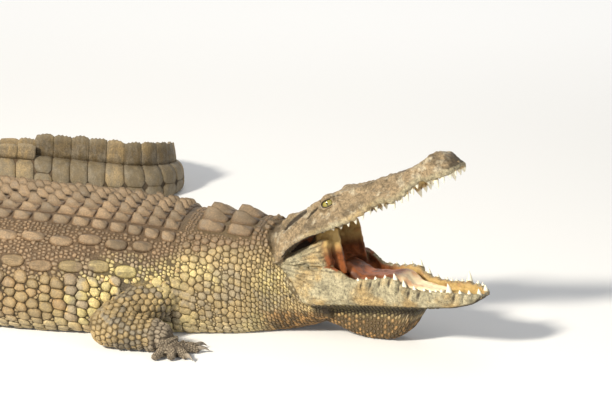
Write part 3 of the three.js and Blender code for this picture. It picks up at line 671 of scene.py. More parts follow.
def leg_forms(leg, side):
    """Start, end, radii, flatness and swelling of each round form of a leg, from root to toes."""
    (root, bend, wrist), radii = leg_joints(leg, side)
    length, width, height = np.array(leg["palm"]) * MM
    toe = leg["toe"] * MM
    palm_end = wrist + leg_ahead(leg, side, leg["palm_out"]) * length
    palm_end[2] = toe * 0.8
    return [(root, bend, radii[:2], 1.0, 0.05), (bend, wrist, radii[1:], 1.0, 0.06),
            (wrist, palm_end, (height, width * 0.5), 0.62, 0.0)] + [
        (knuckle, tip, (toe, toe * 0.70), 0.92, 0.10) for knuckle, tip, *_ in toe_lines(leg, side)]


ALL_LEGS = [("foreleg", FORELEG), ("hindleg", HINDLEG)]


def all_forms():
    """The forms of all four legs, each with its number from the root."""
    for _, leg in ALL_LEGS:
        for side in (-1, 1):
            yield from enumerate(leg_forms(leg, side))


def leg_flesh(depth):
    """All forms of the four legs, drawn in by the depth of the scales."""
    flesh = []
    for i, (start, end, radii, flat, bulge) in all_forms():
        inset = depth * (0.6 if i < 2 else 0.3)
        rings = limb_rings((start, end, [r - inset for r in radii], flat, bulge))
        rings[..., 2] = np.maximum(rings[..., 2], 0.0004)
        flesh.append(tube(rings))
    return flesh


def off_axis(points, start, end):
    """How far along a line each point is, from 0 to 1, and its distance from there."""
    run = end - start
    t = np.clip((points - start) @ run / (run @ run), 0, 1)
    return t, norm(points - start - t[:, None] * run, axis=1)


def eye_centre(side, outward=0.0):
    return jaw_point(UPPER_PITCH, EYE_X, side * (EYE_OUT + outward), EYE_Z)


def sphere(rows, sides, gap):
    """Points of a ball of radius 1, in rings about its first axis that leave gaps at its ends."""
    polar, turn = np.linspace(gap, pi - gap, rows)[:, None], circle(sides)
    return np.stack([np.cos(polar) + 0 * turn, np.sin(polar) * np.cos(turn),
                     np.sin(polar) * np.sin(turn)], -1)


def ball(centre, radius, scale=(1, 1, 1), pitch=0.0):
    """A ball, stretched along the axes of a jaw."""
    points = sphere(20, 32, 0.02) * radius * np.array(scale)
    return tube(tipped(pitch, *np.moveaxis(points, -1, 0)) + centre)


def jaw_masks(points):
    """For points of the skin: how far each belongs to the head, the lower jaw and the mouth."""
    (ux, uo, uz), (lx, lo, lz), (mx, mo, _) = jaw_places(points)
    lip, edge, foot = LIP(ux), JAW_TOP(lx), JAW_BOTTOM(lx)
    upper = fade(-0.012, 0.006, ux) * fade(-0.010, -0.003, uz - lip)
    upper *= fade(0.035, 0.010, np.abs(uo) - LIP_HALF_WIDTH(ux))
    # The lower jaw's bare skin ends at a slanting fold behind and at its lower edge.
    lower = fade(-0.002, 0.006, lz + 1.25 * lx) * fade(0.010, 0.002, lz - edge)
    lower *= fade(0.030, 0.008, np.abs(lo) - JAW_HALF_WIDTH(lx))
    lower *= fade(0.002, 0.009, lz - foot) * (1 - upper)
    cheek = fade(-0.040, -0.025, mx) * fade(0.165, 0.155, mx) * (lz > edge)
    cheek *= (uz < lip) * (np.abs(mo) > 0.035) * (1 - upper)
    lower = np.maximum(lower, cheek)
    # The lining of the mouth is what the lips enclose, on both jaws and between the cheeks.
    roof = fade(0.040, 0.055, ux) * fade(0.002, -0.004, np.abs(uo) + 0.011
                                                     - LIP_HALF_WIDTH(ux))
    roof *= (uz > lip - 0.008) & (uz < lip + 0.020)
    wall = np.maximum(0.0155, np.minimum(0.42 * JAW_HALF_WIDTH(lx), 0.018))
    beside = 0.070 * fade(0.072, 0.086, np.abs(lo))
    floor = fade(0.075, 0.090, lx - beside) * fade(
        0.003, -0.003, np.abs(lo) + wall - JAW_HALF_WIDTH(lx))
    floor *= (lz > edge - 0.040) & (lz < edge + 0.012)
    inside = CHEEK_OUT - CHEEK_TAPER * mx - 0.010
    throat = fade(0.040, 0.055, mx) * fade(0.003, -0.003, np.abs(mo) - inside)
    throat *= (uz < lip + 0.020) & (lz > edge - 0.040) & (mx < 0.22)
    # The front ends of the cheeks are lined like the mouth.
    throat = np.maximum(throat, fade(0.124, 0.132, mx) * (uz < lip) * (lz > edge)
                        * (mx < 0.16))
    return upper, lower, np.maximum.reduce([roof, floor, throat])


def limb_mask(points):
    """How far points belong to the legs (first) and to the hands and feet (second)."""
    limb, hand = np.zeros(len(points)), np.zeros(len(points))
    for i, (start, end, radii, _, _) in all_forms():
        t, gap = off_axis(points, start, end)
        near = fade(0.020, 0.004, gap - radii[0] - (radii[1] - radii[0]) * t)
        if i == 0:
            near *= fade(0.10, 0.45, t)
        if i >= 2:
            hand = np.maximum(hand, near)
        limb = np.maximum(limb, near)
    return limb, hand


# Lines on the side of the head: from, to, bow, width, depth, and darkness of the shade painted in
# them. They are the slit of the ear, the lobe over it, the fold behind the eye, two before it, and
# folds under it.
HEAD_LINES = [
    ((0.050, 0.068), (0.116, 0.085), 0.004, 0.0060, 0.0100, 1.2),
    ((0.052, 0.082), (0.116, 0.098), 0.006, 0.0090, -0.0065, 0.0),
    ((0.048, 0.060), (0.110, 0.070), 0.002, 0.0070, -0.0030, 0.0),
    ((0.124, 0.065), (0.158, 0.079), 0.002, 0.0036, 0.0055, 1.0),
    ((0.130, 0.077), (0.158, 0.090), 0.003, 0.0070, -0.0035, 0.0),
    ((0.205, 0.084), (0.226, 0.078), 0.002, 0.0022, 0.0035, 0.6),
    ((0.165, 0.052), (0.215, 0.050), -0.003, 0.0034, 0.0024, 0.25),
    ((0.150, 0.043), (0.235, 0.036), -0.004, 0.0080, -0.0030, 0.0),
    ((0.030, 0.050), (0.140, 0.038), 0.002, 0.0060, 0.0028, 0.20),
    ((0.250, 0.062), (0.340, 0.050), 0.003, 0.0055, 0.0026, 0.10),
    ((0.330, 0.034), (0.400, 0.040), 0.002, 0.0060, 0.0030, 0.15)]
JAW_FOLDS = [
    ((0.004, -0.012), (0.085, -0.020), 0.004, 0.0034, 0.0036, 0.40),
    ((0.010, -0.026), (0.095, -0.038), 0.005, 0.0034, 0.0032, 0.40),
    ((0.020, -0.044), (0.085, -0.058), 0.005, 0.0040, 0.0028, 0.30),
    ((0.012, -0.019), (0.090, -0.029), 0.004, 0.0050, -0.0034, 0.0),
    ((0.004, -0.010), (0.068, -0.084), 0.006, 0.0050, 0.0050, 0.6)]


def carve(x, z, lines, where):
    """Lift and painted shade of bowed lines drawn in a side view, where they are wanted."""
    lift, dark = np.zeros(len(x)), np.zeros(len(x))
    p = np.stack([x, z], -1)
    for a, b, bow, width, depth, tint in lines:
        a, run = np.array(a), np.subtract(b, a)
        t = np.clip((p - a) @ run / (run @ run), 0, 1)
        side = np.array([-run[1], run[0]]) / norm(run)
        curve = a + t[:, None] * run + side * (bow * 4 * t * (1 - t))[:, None]
        thin = width * (0.45 + 0.55 * np.sqrt(np.clip(4 * t * (1 - t), 0, 1)))
        line = where * bell(norm(p - curve, axis=1) / thin)
        lift -= depth * line
        dark = np.maximum(dark, tint * line)
    return lift, dark


def head_relief(points):
    """How far the head's skin stands out or in, and the shade painted into its creases, slits, pits
    and hollows.
    """
    (ux, uo, uz), (lx, lo, lz), (mx, mo, mz) = jaw_places(points)
    upper, lower, mouth = jaw_masks(points)
    bare = 1 - mouth
    lift, dark = carve(ux, uz, HEAD_LINES, upper * bare * (np.abs(uo) > 0.045))
    folds, shade = carve(lx, lz, JAW_FOLDS, bare * (np.abs(lo) > 0.080) * (lz < 0.004))
    lift, dark = lift + folds, np.maximum(dark, shade)
    on_top = upper * (uz > 0.5 * CROWN(ux))
    for side in (-1, 1):
        # Brow ridges stand over the eyes, and a low ridge runs forward from each.
        gap = np.hypot(ux - EYE_X, (uo - side * (EYE_OUT - 0.014)) * 1.3)
        lift += 0.0060 * bell(gap / 0.024) * on_top
        ridge = np.abs(uo - side * (0.044 - 0.10 * (ux - 0.21)))
        lift += 0.0040 * bell(ridge / 0.008) * on_top * fade(0.20, 0.24, ux) * fade(0.42, 0.34, ux)
        table = np.abs(uo - side * 0.064)
        lift += 0.0035 * bell(table / 0.007) * on_top * fade(0.02, 0.04, ux) \
            * fade(0.165, 0.145, ux)
        # Nostrils: two swollen crescents on the snout's end, each with a slit painted dark as
        # shade.
        gap = np.hypot((ux - 0.505) / 0.024, (uo - side * 0.015) / 0.014)
        lift += 0.0075 * bell(gap) * on_top
        slant = uo - side * 0.017 + 0.25 * side * (ux - 0.510)
        slit = bell(np.hypot((ux - 0.510) / 0.013, slant / 0.0048)) * on_top
        lift -= 0.0110 * slit
        dark = np.maximum(dark, slit)
    lift -= 0.0030 * on_top * bell(uo / 0.012) * fade(0.17, 0.20, ux) * fade(0.27, 0.24, ux)
    # Painted shade on the front end of the snout.
    snout_end = fade(0.522, 0.541, ux + 0.006 * ripple(points, 0.02, 13))
    dark = np.maximum(dark, 0.6 * snout_end * upper * bare * (uz > 0.008))
    # The gum swells round the root of each tooth, with a pit between that is painted dark as shade.
    rows = ((UPPER_TEETH, ux, uz - LIP(ux) - 0.006, upper, 0.00014, 0.4),
            (LOWER_TEETH, lx, JAW_TOP(lx) - 0.009 - lz, lower, 0.00026, 0.8))
    for teeth, x, level, jaw, size_, tint in rows:
        lumps, roots = np.zeros(len(x)), [t[0] * MM for t in teeth]
        for root, length in teeth:
            lumps = np.maximum(lumps, (9 + length) * bell((x - root * MM) / 0.0082))
        band = jaw * bare * bell(level / 0.015)
        lift += band * size_ * lumps
        between = fade(13, 3, lumps) * (x > min(roots)) * (x < max(roots))
        lift -= 0.0016 * band * between
        dark = np.maximum(dark, tint * band * between ** 2)
    # Fans of wrinkles on the cheeks, spreading from the joint, with shade painted in their troughs.
    cheek = fade(-0.010, 0.020, mx) * fade(0.165, 0.150, mx)
    cheek *= (1 - upper) * bare * (np.abs(mo) > 0.050) * (lz > JAW_TOP(lx) - 0.010)
    fan = np.sin(np.arctan2(mz, mx + 0.040) * 64 + 2.6 * ripple(points, 0.060, 3))
    lift += cheek * 0.0016 * fan
    dark = np.maximum(dark, 0.50 * cheek * fade(-0.2, -0.9, fan))
    # The slot between the cheek and the upper jaw is painted dark as deep shade.
    slot = fade(0.000, 0.004, mz - CHEEK_TOP(mx)) * (uz < LIP(ux) + 0.003)
    slot *= fade(-0.020, 0.005, mx) * (mx < 0.150) * (np.abs(mo) > 0.035)
    slot *= 1 - fade(0.070, 0.062, np.abs(mo)) * fade(0.085, 0.100, mx)
    dark = np.maximum(dark, slot)
    # A deep crease runs round the back of the skull, and wrinkles follow it on the nape; shade is
    # painted in both.
    s, _ = body_place(points)
    high = fade(-0.020, 0.030, uz)
    crease = bell((ux + 0.002) / 0.0055) * high
    lift -= 0.0060 * crease
    dark = np.maximum(dark, 0.35 * crease)
    behind = fade(-0.004, -0.012, ux) * fade(0.115, 0.060, s) * (1 - lower)
    behind *= fade(0.06, 0.12, points[:, 2])
    waves = np.sin(2 * pi * ux / 0.0125 + 1.4 * ripple(points, 0.070, 5)
                   + 0.7 * ripple(points, 0.026, 6))
    lift += behind * 0.0022 * waves
    dark = np.maximum(dark, 0.4 * behind * fade(-0.4, -0.95, waves))
    # Low lumps and pits all over the head's skin.
    rough = np.maximum(upper, lower) * bare
    lift += rough * (0.0016 * ripple(points, 0.030, 8) + 0.0013 * ripple(points, 0.013, 9))
    lift += mouth * 0.0010 * ripple(points, 0.020, 12)
    return lift, dark


def limb_relief(points, hand, limb):
    """Folds of skin round the wrists and elbows, and lumps on the hands."""
    lift = hand * 0.0010 * ripple(points, 0.014, 21)
    for i, (_, joint, (_, radius), _, _) in all_forms():
        if i < 2:
            gap = norm(points - joint, axis=1)
            waves = np.sin(gap * 2 * pi / 0.019 + 1.2 * ripple(points, 0.07, 22))
            lift += limb * fade(radius * 2.1, radius * 1.2, gap) * 0.0030 * waves
    return lift


HEAD_REACH = 0.75  # no part of the head lies farther from the joint


def merge(obj, form, operation="UNION"):
    """Adds a closed form of points and faces to an object, or cuts it out."""
    other = closed_form("other", *form)
    apply_modifier(obj, "BOOLEAN", operation=operation, object=other, solver="MANIFOLD")
    bpy.data.objects.remove(other)


def build_skin():
    """The one skin of the animal, remeshed from all its forms, with its relief and its marks."""
    p = sizes()
    neck = closed_form("neck_flesh", *body_flesh(BODY_FRONT, 0.330, 0.008, p.coat))
    head = closed_form("upper_flesh", *jaw_flesh(
        upper_sections, UPPER_PITCH, UPPER_BACK, UPPER_TIP))
    flesh = [jaw_flesh(lower_sections, LOWER_PITCH, LOWER_BACK, LOWER_TIP)]
    for side in (-1, 1):
        merge(neck, gape_flesh(CHEEK, CHEEK_OUT * side, -CHEEK_TAPER * side))
        merge(head, ball(eye_centre(side, -0.006), LID_RADIUS, (1.10, 0.95, 0.84), UPPER_PITCH))
        merge(head, ball(eye_centre(side), EYE_RADIUS * 1.02), "DIFFERENCE")
        merge(head, ball(eye_centre(side, LID_RADIUS), 1.0,
                         (LID_OPENING[0], LID_RADIUS, LID_OPENING[1]), UPPER_PITCH), "DIFFERENCE")
        flesh.append(gape_flesh(CURTAIN, CURTAIN_OUT * side))
    merge(neck, gape_flesh(HOLLOW), "DIFFERENCE")
    flesh += [body_flesh(0.250, TAIL_END - 0.004, 0.010, p.coat), *leg_flesh(p.coat)]
    skin = join("skin", [neck, head] + [closed_form("flesh", *form) for form in flesh])
    skin.data.remesh_voxel_size = p.voxel * 1.0
    skin.data.remesh_voxel_adaptivity = 0
    with bpy.context.temp_override(object=skin, active_object=skin):
        bpy.ops.object.voxel_remesh()
    apply_modifier(skin, "SMOOTH", factor=0.5, iterations=3)
    points, normals = read_points(skin.data), read_points(skin.data, "normal")
    limb, hand = limb_mask(points)
    near_head = norm(points - JOINT, axis=1) < HEAD_REACH
    lift = limb_relief(points, hand, limb)
    lift[near_head] += head_relief(points[near_head])[0]
    points += normals * lift[:, None]
    # The jaw's pouch and the belly lie flat on the floor.
    points[:, 2] = np.maximum(points[:, 2], 0.0003)
    set_coordinates(skin.data, points)
    thin_out(skin, points, hand)
    mark_skin(skin)
    skin.data.shade_smooth()
    flesh = [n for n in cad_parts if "claw" not in n and "eye" not in n and n != "tongue"]
    finish_piece(skin, skin_material(), "skin", *flesh)


def thin_out(skin, points, hand):
    """Thins the skin's mesh, most where scales cover it and least on the head and hands."""
    faces = sum(len(f.vertices) - 2 for f in skin.data.polygons)
    upper, lower, mouth = jaw_masks(points)
    keep = np.clip(np.maximum.reduce([upper, lower, 0.8 * mouth, 0.6 * hand]), 0, 1)
    group = skin.vertex_groups.new(name="plain")
    for level in np.linspace(0, 1, 6):
        chosen = np.nonzero(np.abs(1 - keep - level) < 0.1)[0]
        if len(chosen):
            group.add(chosen.tolist(), float(level), "REPLACE")
    ratio = min(1.0, sizes().skin_faces / faces)
    apply_modifier(skin, "DECIMATE", ratio=ratio, vertex_group="plain",
                   vertex_group_factor=1.6, use_collapse_triangulate=True)


def mark_skin(obj, **own):
    """Stores on a piece of skin the marks that its material reads, or its own instead."""
    points = read_points(obj.data)
    # dark is painted shade: in the head's creases, slits and pits, and under the jaw's edge.
    dark = np.zeros(len(points))
    near_head = norm(points - JOINT, axis=1) < HEAD_REACH
    dark[near_head] = head_relief(points[near_head])[1]
    marks = marks_at(points)
    marks["dark"] = np.maximum(marks["dark"], dark)
    for name, values in {**marks, "tone": 0.5, **own}.items():
        mark(obj, name, values)


def marks_at(points):
    """Shares, at each point, of the parts of the body that differ in colour, and of the shade
    painted under the jaw.
    """
    s, out = body_place(points)
    level, top = WIDEST_LEVEL(s), TOP(s)
    height = (points[:, 2] - level) / (top - level)
    upper, lower, mouth = jaw_masks(points)
    limb, hand = limb_mask(points)
    near = (1 - upper) * (1 - lower) * (1 - limb)
    wander = 0.10 * ripple(points, 0.30, 31) + 0.08 * ripple(points, 0.09, 32)
    (ux, _, uz), (lx, _, lz), (mx, _, mz) = jaw_places(points)
    lips = fade(0.022, 0.008, uz - LIP(ux) + 5 * wander * MM) * fade(0.08, 0.15, ux)
    throat = fade(-0.06, 0.02, lx) * fade(0.020, 0.000, lz - JAW_BOTTOM(lx))
    return {
        "back": fade(0.20, 0.55, height + wander - 0.30 * fade(0.38, 0.24, s)) * near,
        "belly": fade(0.55, 0.10, points[:, 2] / np.maximum(level, 0.02)) * near,
        "tail": fade(TAIL_START - 0.10, TAIL_START + 0.15, s) * near,
        "neck": fade(0.36, 0.24, s + 0.3 * wander) * near,
        "mud": fade(0.49, 0.64, s + 0.4 * wander) * near,
        "limb": limb, "hand": hand, "head": upper, "mouth": mouth,
        "jaw": np.maximum(lower, 0.75 * upper * lips),
        "throat": throat * fade(0.075, 0.055, points[:, 2]) * (1 - lower) * (1 - limb),
        # A band of painted shade on the pouch just under the jaw's lower edge, where the jaw
        # overhangs it.
        "dark": 0.8 * throat * (1 - lower) * fade(0.034, 0.022, JAW_BOTTOM(lx) - lz)
        * fade(0.080, 0.110, lx),
        "pale": mouth * np.maximum(fade(-0.010, 0.030, mz) * fade(0.06, 0.10, mx),
                                   fade(0.20, 0.30, mx))}


# ---- scales

# Rings of a scale from its foot to its top: share of its reach, share of its height.
DOME = ((1.0, -0.30), (0.97, 0.36), (0.82, 0.82), (0.45, 1.0))
BEAD = ((1.0, -0.30), (0.90, 0.52), (0.55, 0.95))
FLAT = ((1.0, -0.30), (0.96, 0.60), (0.82, 0.92), (0.40, 1.0))
CREASE = 0.0006  # half the width of the crease between two scales


def keeled_shape(across, along, power, sharp, peak, drop, start=-1.0):
    """A plate with a ridge along its middle that rises towards its rear and drops at the end."""
    u, v = np.meshgrid(np.linspace(-1, 1, along), np.linspace(-1, 1, across), indexing="ij")
    v = np.sign(v) * np.abs(v) ** 1.4
    squeeze = (np.abs(u) ** power + np.abs(v) ** power) ** (1 / power)
    largest = np.maximum(np.abs(u), np.abs(v))
    pull = np.where(squeeze > 0, largest / np.maximum(squeeze, 1e-9), 1)
    flat = np.stack([u * pull, v * pull], -1).reshape(-1, 2)
    edge = largest.ravel()
    lift = np.where(edge > 0.999, -0.30, 1.0 - 0.30 * edge ** 4)
    run = fade(start, peak, flat[:, 0]) * fade(0.99, drop, flat[:, 0])
    ridge = np.clip(1 - np.abs(flat[:, 1]) / 0.95, 0, 1) ** sharp
    keel = np.where(edge > 0.999, 0, run * ridge)
    at = np.arange(along * across).reshape(along, across)
    rim = [*at[:, 0], *at[-1, 1:], *at[-2::-1, -1], *at[0, -2:0:-1]]
    return flat, lift, keel, [*grid_faces(along, across, closed=False)[:, ::-1].tolist(), rim]


def cells(rows, columns, gap, jitter, draw):
    """Four corners (row place, column place) of each plate of a patch laid in straight rows."""
    corners = []
    for low, high in zip(rows[:-1], rows[1:]):
        a, b = columns(low), columns(high)
        for j in range(len(a) - 1):
            corners.append([(low, a[j]), (low, a[j + 1]), (high, b[j + 1]), (high, b[j])])
    corners = np.array(corners)
    middle = corners.mean(1, keepdims=True)
    spread = (corners - middle) * (1 - gap)
    spread *= 1 + draw.uniform(-jitter, jitter * 0.6, spread.shape)
    return middle + spread


def seed_rows(start, end, pitch, arcs, draw, jitter, wide=1.0):
    """Places for scales in staggered rows, with half their widths.

    pitch(s) is the length of a row; arcs(s) says from where to where it runs round the body.
    """
    places, halves = [], []
    s, row = start, 0
    while s < end:
        step = float(pitch(s))
        low, high = (float(v) for v in arcs(s))
        if high > low:
            count = max(1, round((high - low) / (step * wide)))
            share = (np.arange(count) + (0.25 if row % 2 else 0.75)) / (count + 0.5)
            at = np.stack([np.full(count, s), low + share * (high - low)], -1)
            places.append(at + draw.uniform(-jitter, jitter, (count, 2)) * step)
            halves.append(step / 2 * draw.uniform(0.80, 1.12, count))
        s += step * 0.94
        row += 1
    return np.concatenate(places), np.concatenate(halves)


def add_beads(seeds, halves, beads, bead_halves):
    """Adds small beads wherever there is room for them between scales."""
    gap = norm(beads[:, None] - seeds[None], axis=-1) - halves
    room = gap.min(1) > 0.5 * bead_halves
    return np.concatenate([seeds, beads[room]]), np.concatenate([halves, bead_halves[room]])


def cell_reach(seeds, halves, directions):
    """How far each scale spreads in each direction before it meets its neighbours."""
    tree = KDTree(len(seeds))
    for i, (a, b) in enumerate(seeds):
        tree.insert((a, b, 0), i)
    tree.balance()
    near = min(16, len(seeds))
    other = np.array([[j for _, j, _ in tree.find_n((a, b, 0), near)] for a, b in seeds])
    step = seeds[other] - seeds[:, None]
    apart = (step ** 2).sum(-1) + halves[:, None] ** 2 - halves[other] ** 2
    facing = step @ directions.T
    reach = np.where(facing > 1e-7, apart[..., None] / (2 * np.maximum(facing, 1e-7)), 9.0)
    return np.minimum(reach.min(1), halves[:, None] * 1.40)


class Ground:
    """The skin as something to lay scales on."""

    def __init__(self, skin):
        mesh = skin.data
        mesh.calc_loop_triangles()
        triangles = np.zeros(len(mesh.loop_triangles) * 3, np.int32)
        mesh.loop_triangles.foreach_get("vertices", triangles)
        self.tree = BVHTree.FromPolygons(
            read_points(mesh).tolist(), triangles.reshape(-1, 3).tolist(), all_triangles=True)

    def below(self, points, normals, reach):
        """How far the skin lies below points, along their normals; none is a nan."""
        depth = np.full(len(points), np.nan)
        start, cast = points + normals * reach, self.tree.ray_cast
        for i, (p, n) in enumerate(zip(start.tolist(), (-normals).tolist())):
            distance = cast(p, n, 2.2 * reach)[3]
            if distance is not None:
                depth[i] = distance - reach
        return depth


def lay(ground, surface, middle, place, up, raised, flat, faces, draw, clear, tone=None,
        reach=0.025, slack=0.012):
    """Lays scales on the skin, where it lies within the slack and clear(points) is true.

    Each has a middle and points at its places on the surface, up high over the skin. raised
    says how high each point is for its colour; flat is where it lies in the scale.
    """
    base = surface(middle[:, 0], middle[:, 1])
    normal = normals_of(surface, middle[:, 0], middle[:, 1])
    good = (np.abs(ground.below(base, normal, reach)) < slack) & clear(base)
    middle, place, up, base, normal = (v[good] for v in (middle, place, up, base, normal))
    count, per = up.shape
    if not count:
        return None
    a, b = place[..., 0].ravel(), place[..., 1].ravel()
    points = surface(a, b)
    normals = unit(normals_of(surface, a, b) + np.repeat(normal, per, axis=0))
    # A point with no skin right below it keeps the depth of its scale's other points.
    depth = ground.below(points, normals, reach).reshape(count, per)
    usual = np.nan_to_num(np.nanmedian(depth, axis=1, keepdims=True))
    depth = np.where(np.abs(depth - usual) < 0.008, depth, usual)
    points = points + normals * (up - depth).reshape(-1, 1)
    points[:, 2] = np.maximum(points[:, 2], 0.0002)
    tone = draw.uniform(0, 1, count) if tone is None else tone[good]
    return {"points": points, "faces": [[i + k * per for i in f] for k in range(count)
                                        for f in faces],
            "centre": np.repeat(base, per, axis=0), "raised": np.tile(raised, count),
            "tone": np.repeat(tone, per), "root": np.repeat(middle, per, axis=0),
            "flat": np.tile(flat, (count, 1))}


def plates(ground, surface, quads, shape, lift, keel, draw, **settings):
    """Lays keeled plates over the four-cornered cells quads. keel may depend on the place."""
    flat, rise, ridge, faces = shape
    count = len(quads)
    u, v = flat.T
    weights = np.stack([(1 - u) * (1 - v), (1 - u) * (1 + v), (1 + u) * (1 + v),
                        (1 + u) * (1 - v)], 0) / 4
    middle = quads.mean(1)
    tall = lift * draw.uniform(0.85, 1.12, (count, 1))
    high = np.broadcast_to(keel(middle) if callable(keel) else keel, (count,))
    return lay(ground, surface, middle, np.einsum("kp,nkc->npc", weights, quads),
               tall * rise + high[:, None] * ridge, np.clip(rise + 0.15 * ridge, 0, 1), flat,
               faces, draw, **settings)


def domes(ground, surface, seeds, halves, lift, draw, sides=12, rings=DOME, crease=CREASE,
          chosen=True, **settings):
    """Lays scales that grow from seeds until they meet, lift times half their width high."""
    turn = (np.arange(sides) + 0.5) * 2 * pi / sides
    directions = np.stack([np.cos(turn), np.sin(turn)], -1)
    reach = cell_reach(seeds, halves, directions) - crease
    whole = (reach.min(1) > 0.4 * halves) & chosen
    seeds, halves, reach = seeds[whole], halves[whole], reach[whole]
    count = len(seeds)
    shares, heights = np.array(rings).T
    out = shares[:, None, None] * directions
    place = seeds[:, None, None] + out * reach[:, None, :, None]
    place = np.concatenate([place.reshape(count, -1, 2), seeds[:, None]], 1)
    rise = np.append(np.repeat(heights, sides), 1.03)
    last, top = (len(rings) - 1) * sides, len(rings) * sides
    faces = grid_faces(len(rings), sides)[:, ::-1].tolist()
    faces += [(last + (j + 1) % sides, last + j, top) for j in range(sides)] + [range(sides)]
    up = (lift * halves * draw.uniform(0.8, 1.15, count))[:, None] * rise
    flat = np.concatenate([out.reshape(-1, 2), [[0, 0]]])
    return lay(ground, surface, seeds, place, up, np.clip(rise, 0, 1), flat, faces, draw,
               **settings)


PATCH = 0.003  # how wide the place of one scale is on the unwrap
BODY_WINDOW = ((BODY_FRONT, TAIL_END), (-0.75, 0.75))


def scale_piece(name, groups, window=BODY_WINDOW):
    """Joins laid scales in one piece, with its marks and its unwrap.

    Each scale has a small patch of the unwrap; window says what its two numbers run over.
    """
    points, faces, centre, raised, tone, root, flat = gather(g.values() for g in groups if g)
    obj = closed_form(name, points, faces)
    for key, values in {**marks_at(centre), "raised": raised, "tone": tone}.items():
        mark(obj, key, values)
    low, high = np.array(window).T
    uv = np.clip((root - low) / (high - low), 0.002, 0.998) + flat * PATCH / 2
    layer = obj.data.uv_layers.new(name="OFBake")
    corner = np.zeros(len(obj.data.loops), np.int32)
    obj.data.loops.foreach_get("vertex_index", corner)
    layer.data.foreach_set("uv", np.clip(uv, 0, 1)[corner].astype(np.float32).ravel())
    finish_piece(obj, coat_material(), "skin")


def outside_limbs(base):
    """Which points of the body lie clear of the legs."""
    return limb_mask(base)[0] < 0.6


def head_clear(base):
    """Which points lie clear of head, jaw, mouth and legs."""
    upper, lower, mouth = jaw_masks(base)
    return (upper < 0.25) & (lower < 0.35) & (mouth < 0.5) & outside_limbs(base)


def dorsal_rows():
    """Edges of the rows of scutes on the back, from the neck to the root of the tail."""
    return DORSAL_START + np.concatenate(
        [[0], np.cumsum(np.linspace(*DORSAL_PITCHES, DORSAL_ROWS))])


def whorl_rows():
    """Edges of the rings of the tail, from its root to its tip."""
    edges = [TAIL_START]
    while edges[-1] < TAIL_END - WHORL_PITCHES[1]:
        t = (edges[-1] - TAIL_START) / (TAIL_END - TAIL_START)
        edges.append(edges[-1] + WHORL_PITCHES[0] + (WHORL_PITCHES[1] - WHORL_PITCHES[0]) * t)
    return np.array(edges)


BACK_EDGE = 3 * DORSAL_COLUMN  # arc at which the shield of the back ends
SHOULDER_ROW = (BACK_EDGE + 0.003, BACK_EDGE + 0.050)
OVAL_SHARES, OVAL_HIGH = (0.310, 0.412), 0.042  # rows of ovals, as shares of the girth
OVAL_ROWS = np.arange(0.345, 1.40, 0.0665)
FLANK_SHARE, BELLY_SHARE = 0.455, 0.715


def oval_cells(draw):
    """The cells of the loose rows of oval scutes along each side."""
    rows = []
    for k, share in enumerate(OVAL_SHARES):
        edges = OVAL_ROWS + 0.033 * k
        quads = cells(edges, lambda s: share * girth(s) + np.array([-0.5, 0.5]) * OVAL_HIGH,
                      0.06, 0.13, draw)
        quads[:, :, 1] += 0.006 * np.sin(edges[:-1] * 37)[:, None]
        inner = share * girth(edges[:-1]) - OVAL_HIGH / 2
        rows.append(quads[inner > SHOULDER_ROW[1] - 0.004])
    return np.concatenate(rows)


def outside_ovals(places, quads):
    """Which places lie outside the ovals drawn in cells."""
    half = np.ptp(quads, axis=1) / 2 - 0.0015
    gap = (places[:, None] - quads.mean(1)) / half
    return ((np.abs(gap) ** 2.3).sum(-1) > 1.0).all(1)


def on_side(quads, side):
    """Cells of the left side, or the same ones mirrored to the right."""
    return quads if side > 0 else quads[:, [1, 0, 3, 2]] * [1, -1]


def build_scutes(ground):
    """The keeled plates of nape and back, and the ovals along its sides."""
    p, draw, groups = sizes(), dice(1), []
    plate = keeled_shape(11, 13, 7.0, 4.0, 0.10, 0.62, -0.80)
    shield = keeled_shape(13, 12, 3.8, 1.9, 0.20, 0.66)
    low_plate = keeled_shape(11, 10, 3.2, 2.4, 0.10, 0.70)
    oval = keeled_shape(11, 12, 2.3, 1.5, 0.20, 0.62, -0.9)

    def fading(middle):
        column = np.floor(np.abs(middle[:, 1]) / DORSAL_COLUMN)
        return p.keel * (1 - 0.17 * column) * draw.uniform(0.70, 1.15, len(middle))

    def on_nape(middle):
        inner = np.abs(middle[:, 1]) < NUCHAL_COLUMN
        return draw.uniform(0.8, 1.1, len(middle)) * np.where(inner, 0.025, 0.015)

    # Rows, columns, gap, jitter, shape, lift and keel of each patch.
    patches = (
        (dorsal_rows(), np.arange(4) * DORSAL_COLUMN, 0.015, 0.03, plate, p.scute, fading),
        (dorsal_rows()[:-2], SHOULDER_ROW, 0.04, 0.06, low_plate, p.scute * 0.9, 0.012),
        (NUCHAL_START + np.arange(3) * NUCHAL_PITCH,
         np.array([0.003, 0.98, 1.85]) * NUCHAL_COLUMN, 0.02, 0.09, shield, p.scute * 1.2,
         on_nape),
        ([0.058, 0.086], [0.012, 0.040, 0.066], 0.14, 0.08, oval, p.scute * 0.8, 0.006))
    for side in (1, -1):
        laid = [(cells(rows, lambda s: columns, gap, jitter, draw), *shape)
                for rows, columns, gap, jitter, *shape in patches]
        for quads, shape, lift, keel in [*laid, (oval_cells(draw), oval, p.scute * 1.2, 0.016)]:
            groups.append(plates(ground, body_surface, on_side(quads, side), shape, lift, keel,
                                 draw, clear=outside_limbs))
    scale_piece("back_scutes", groups)


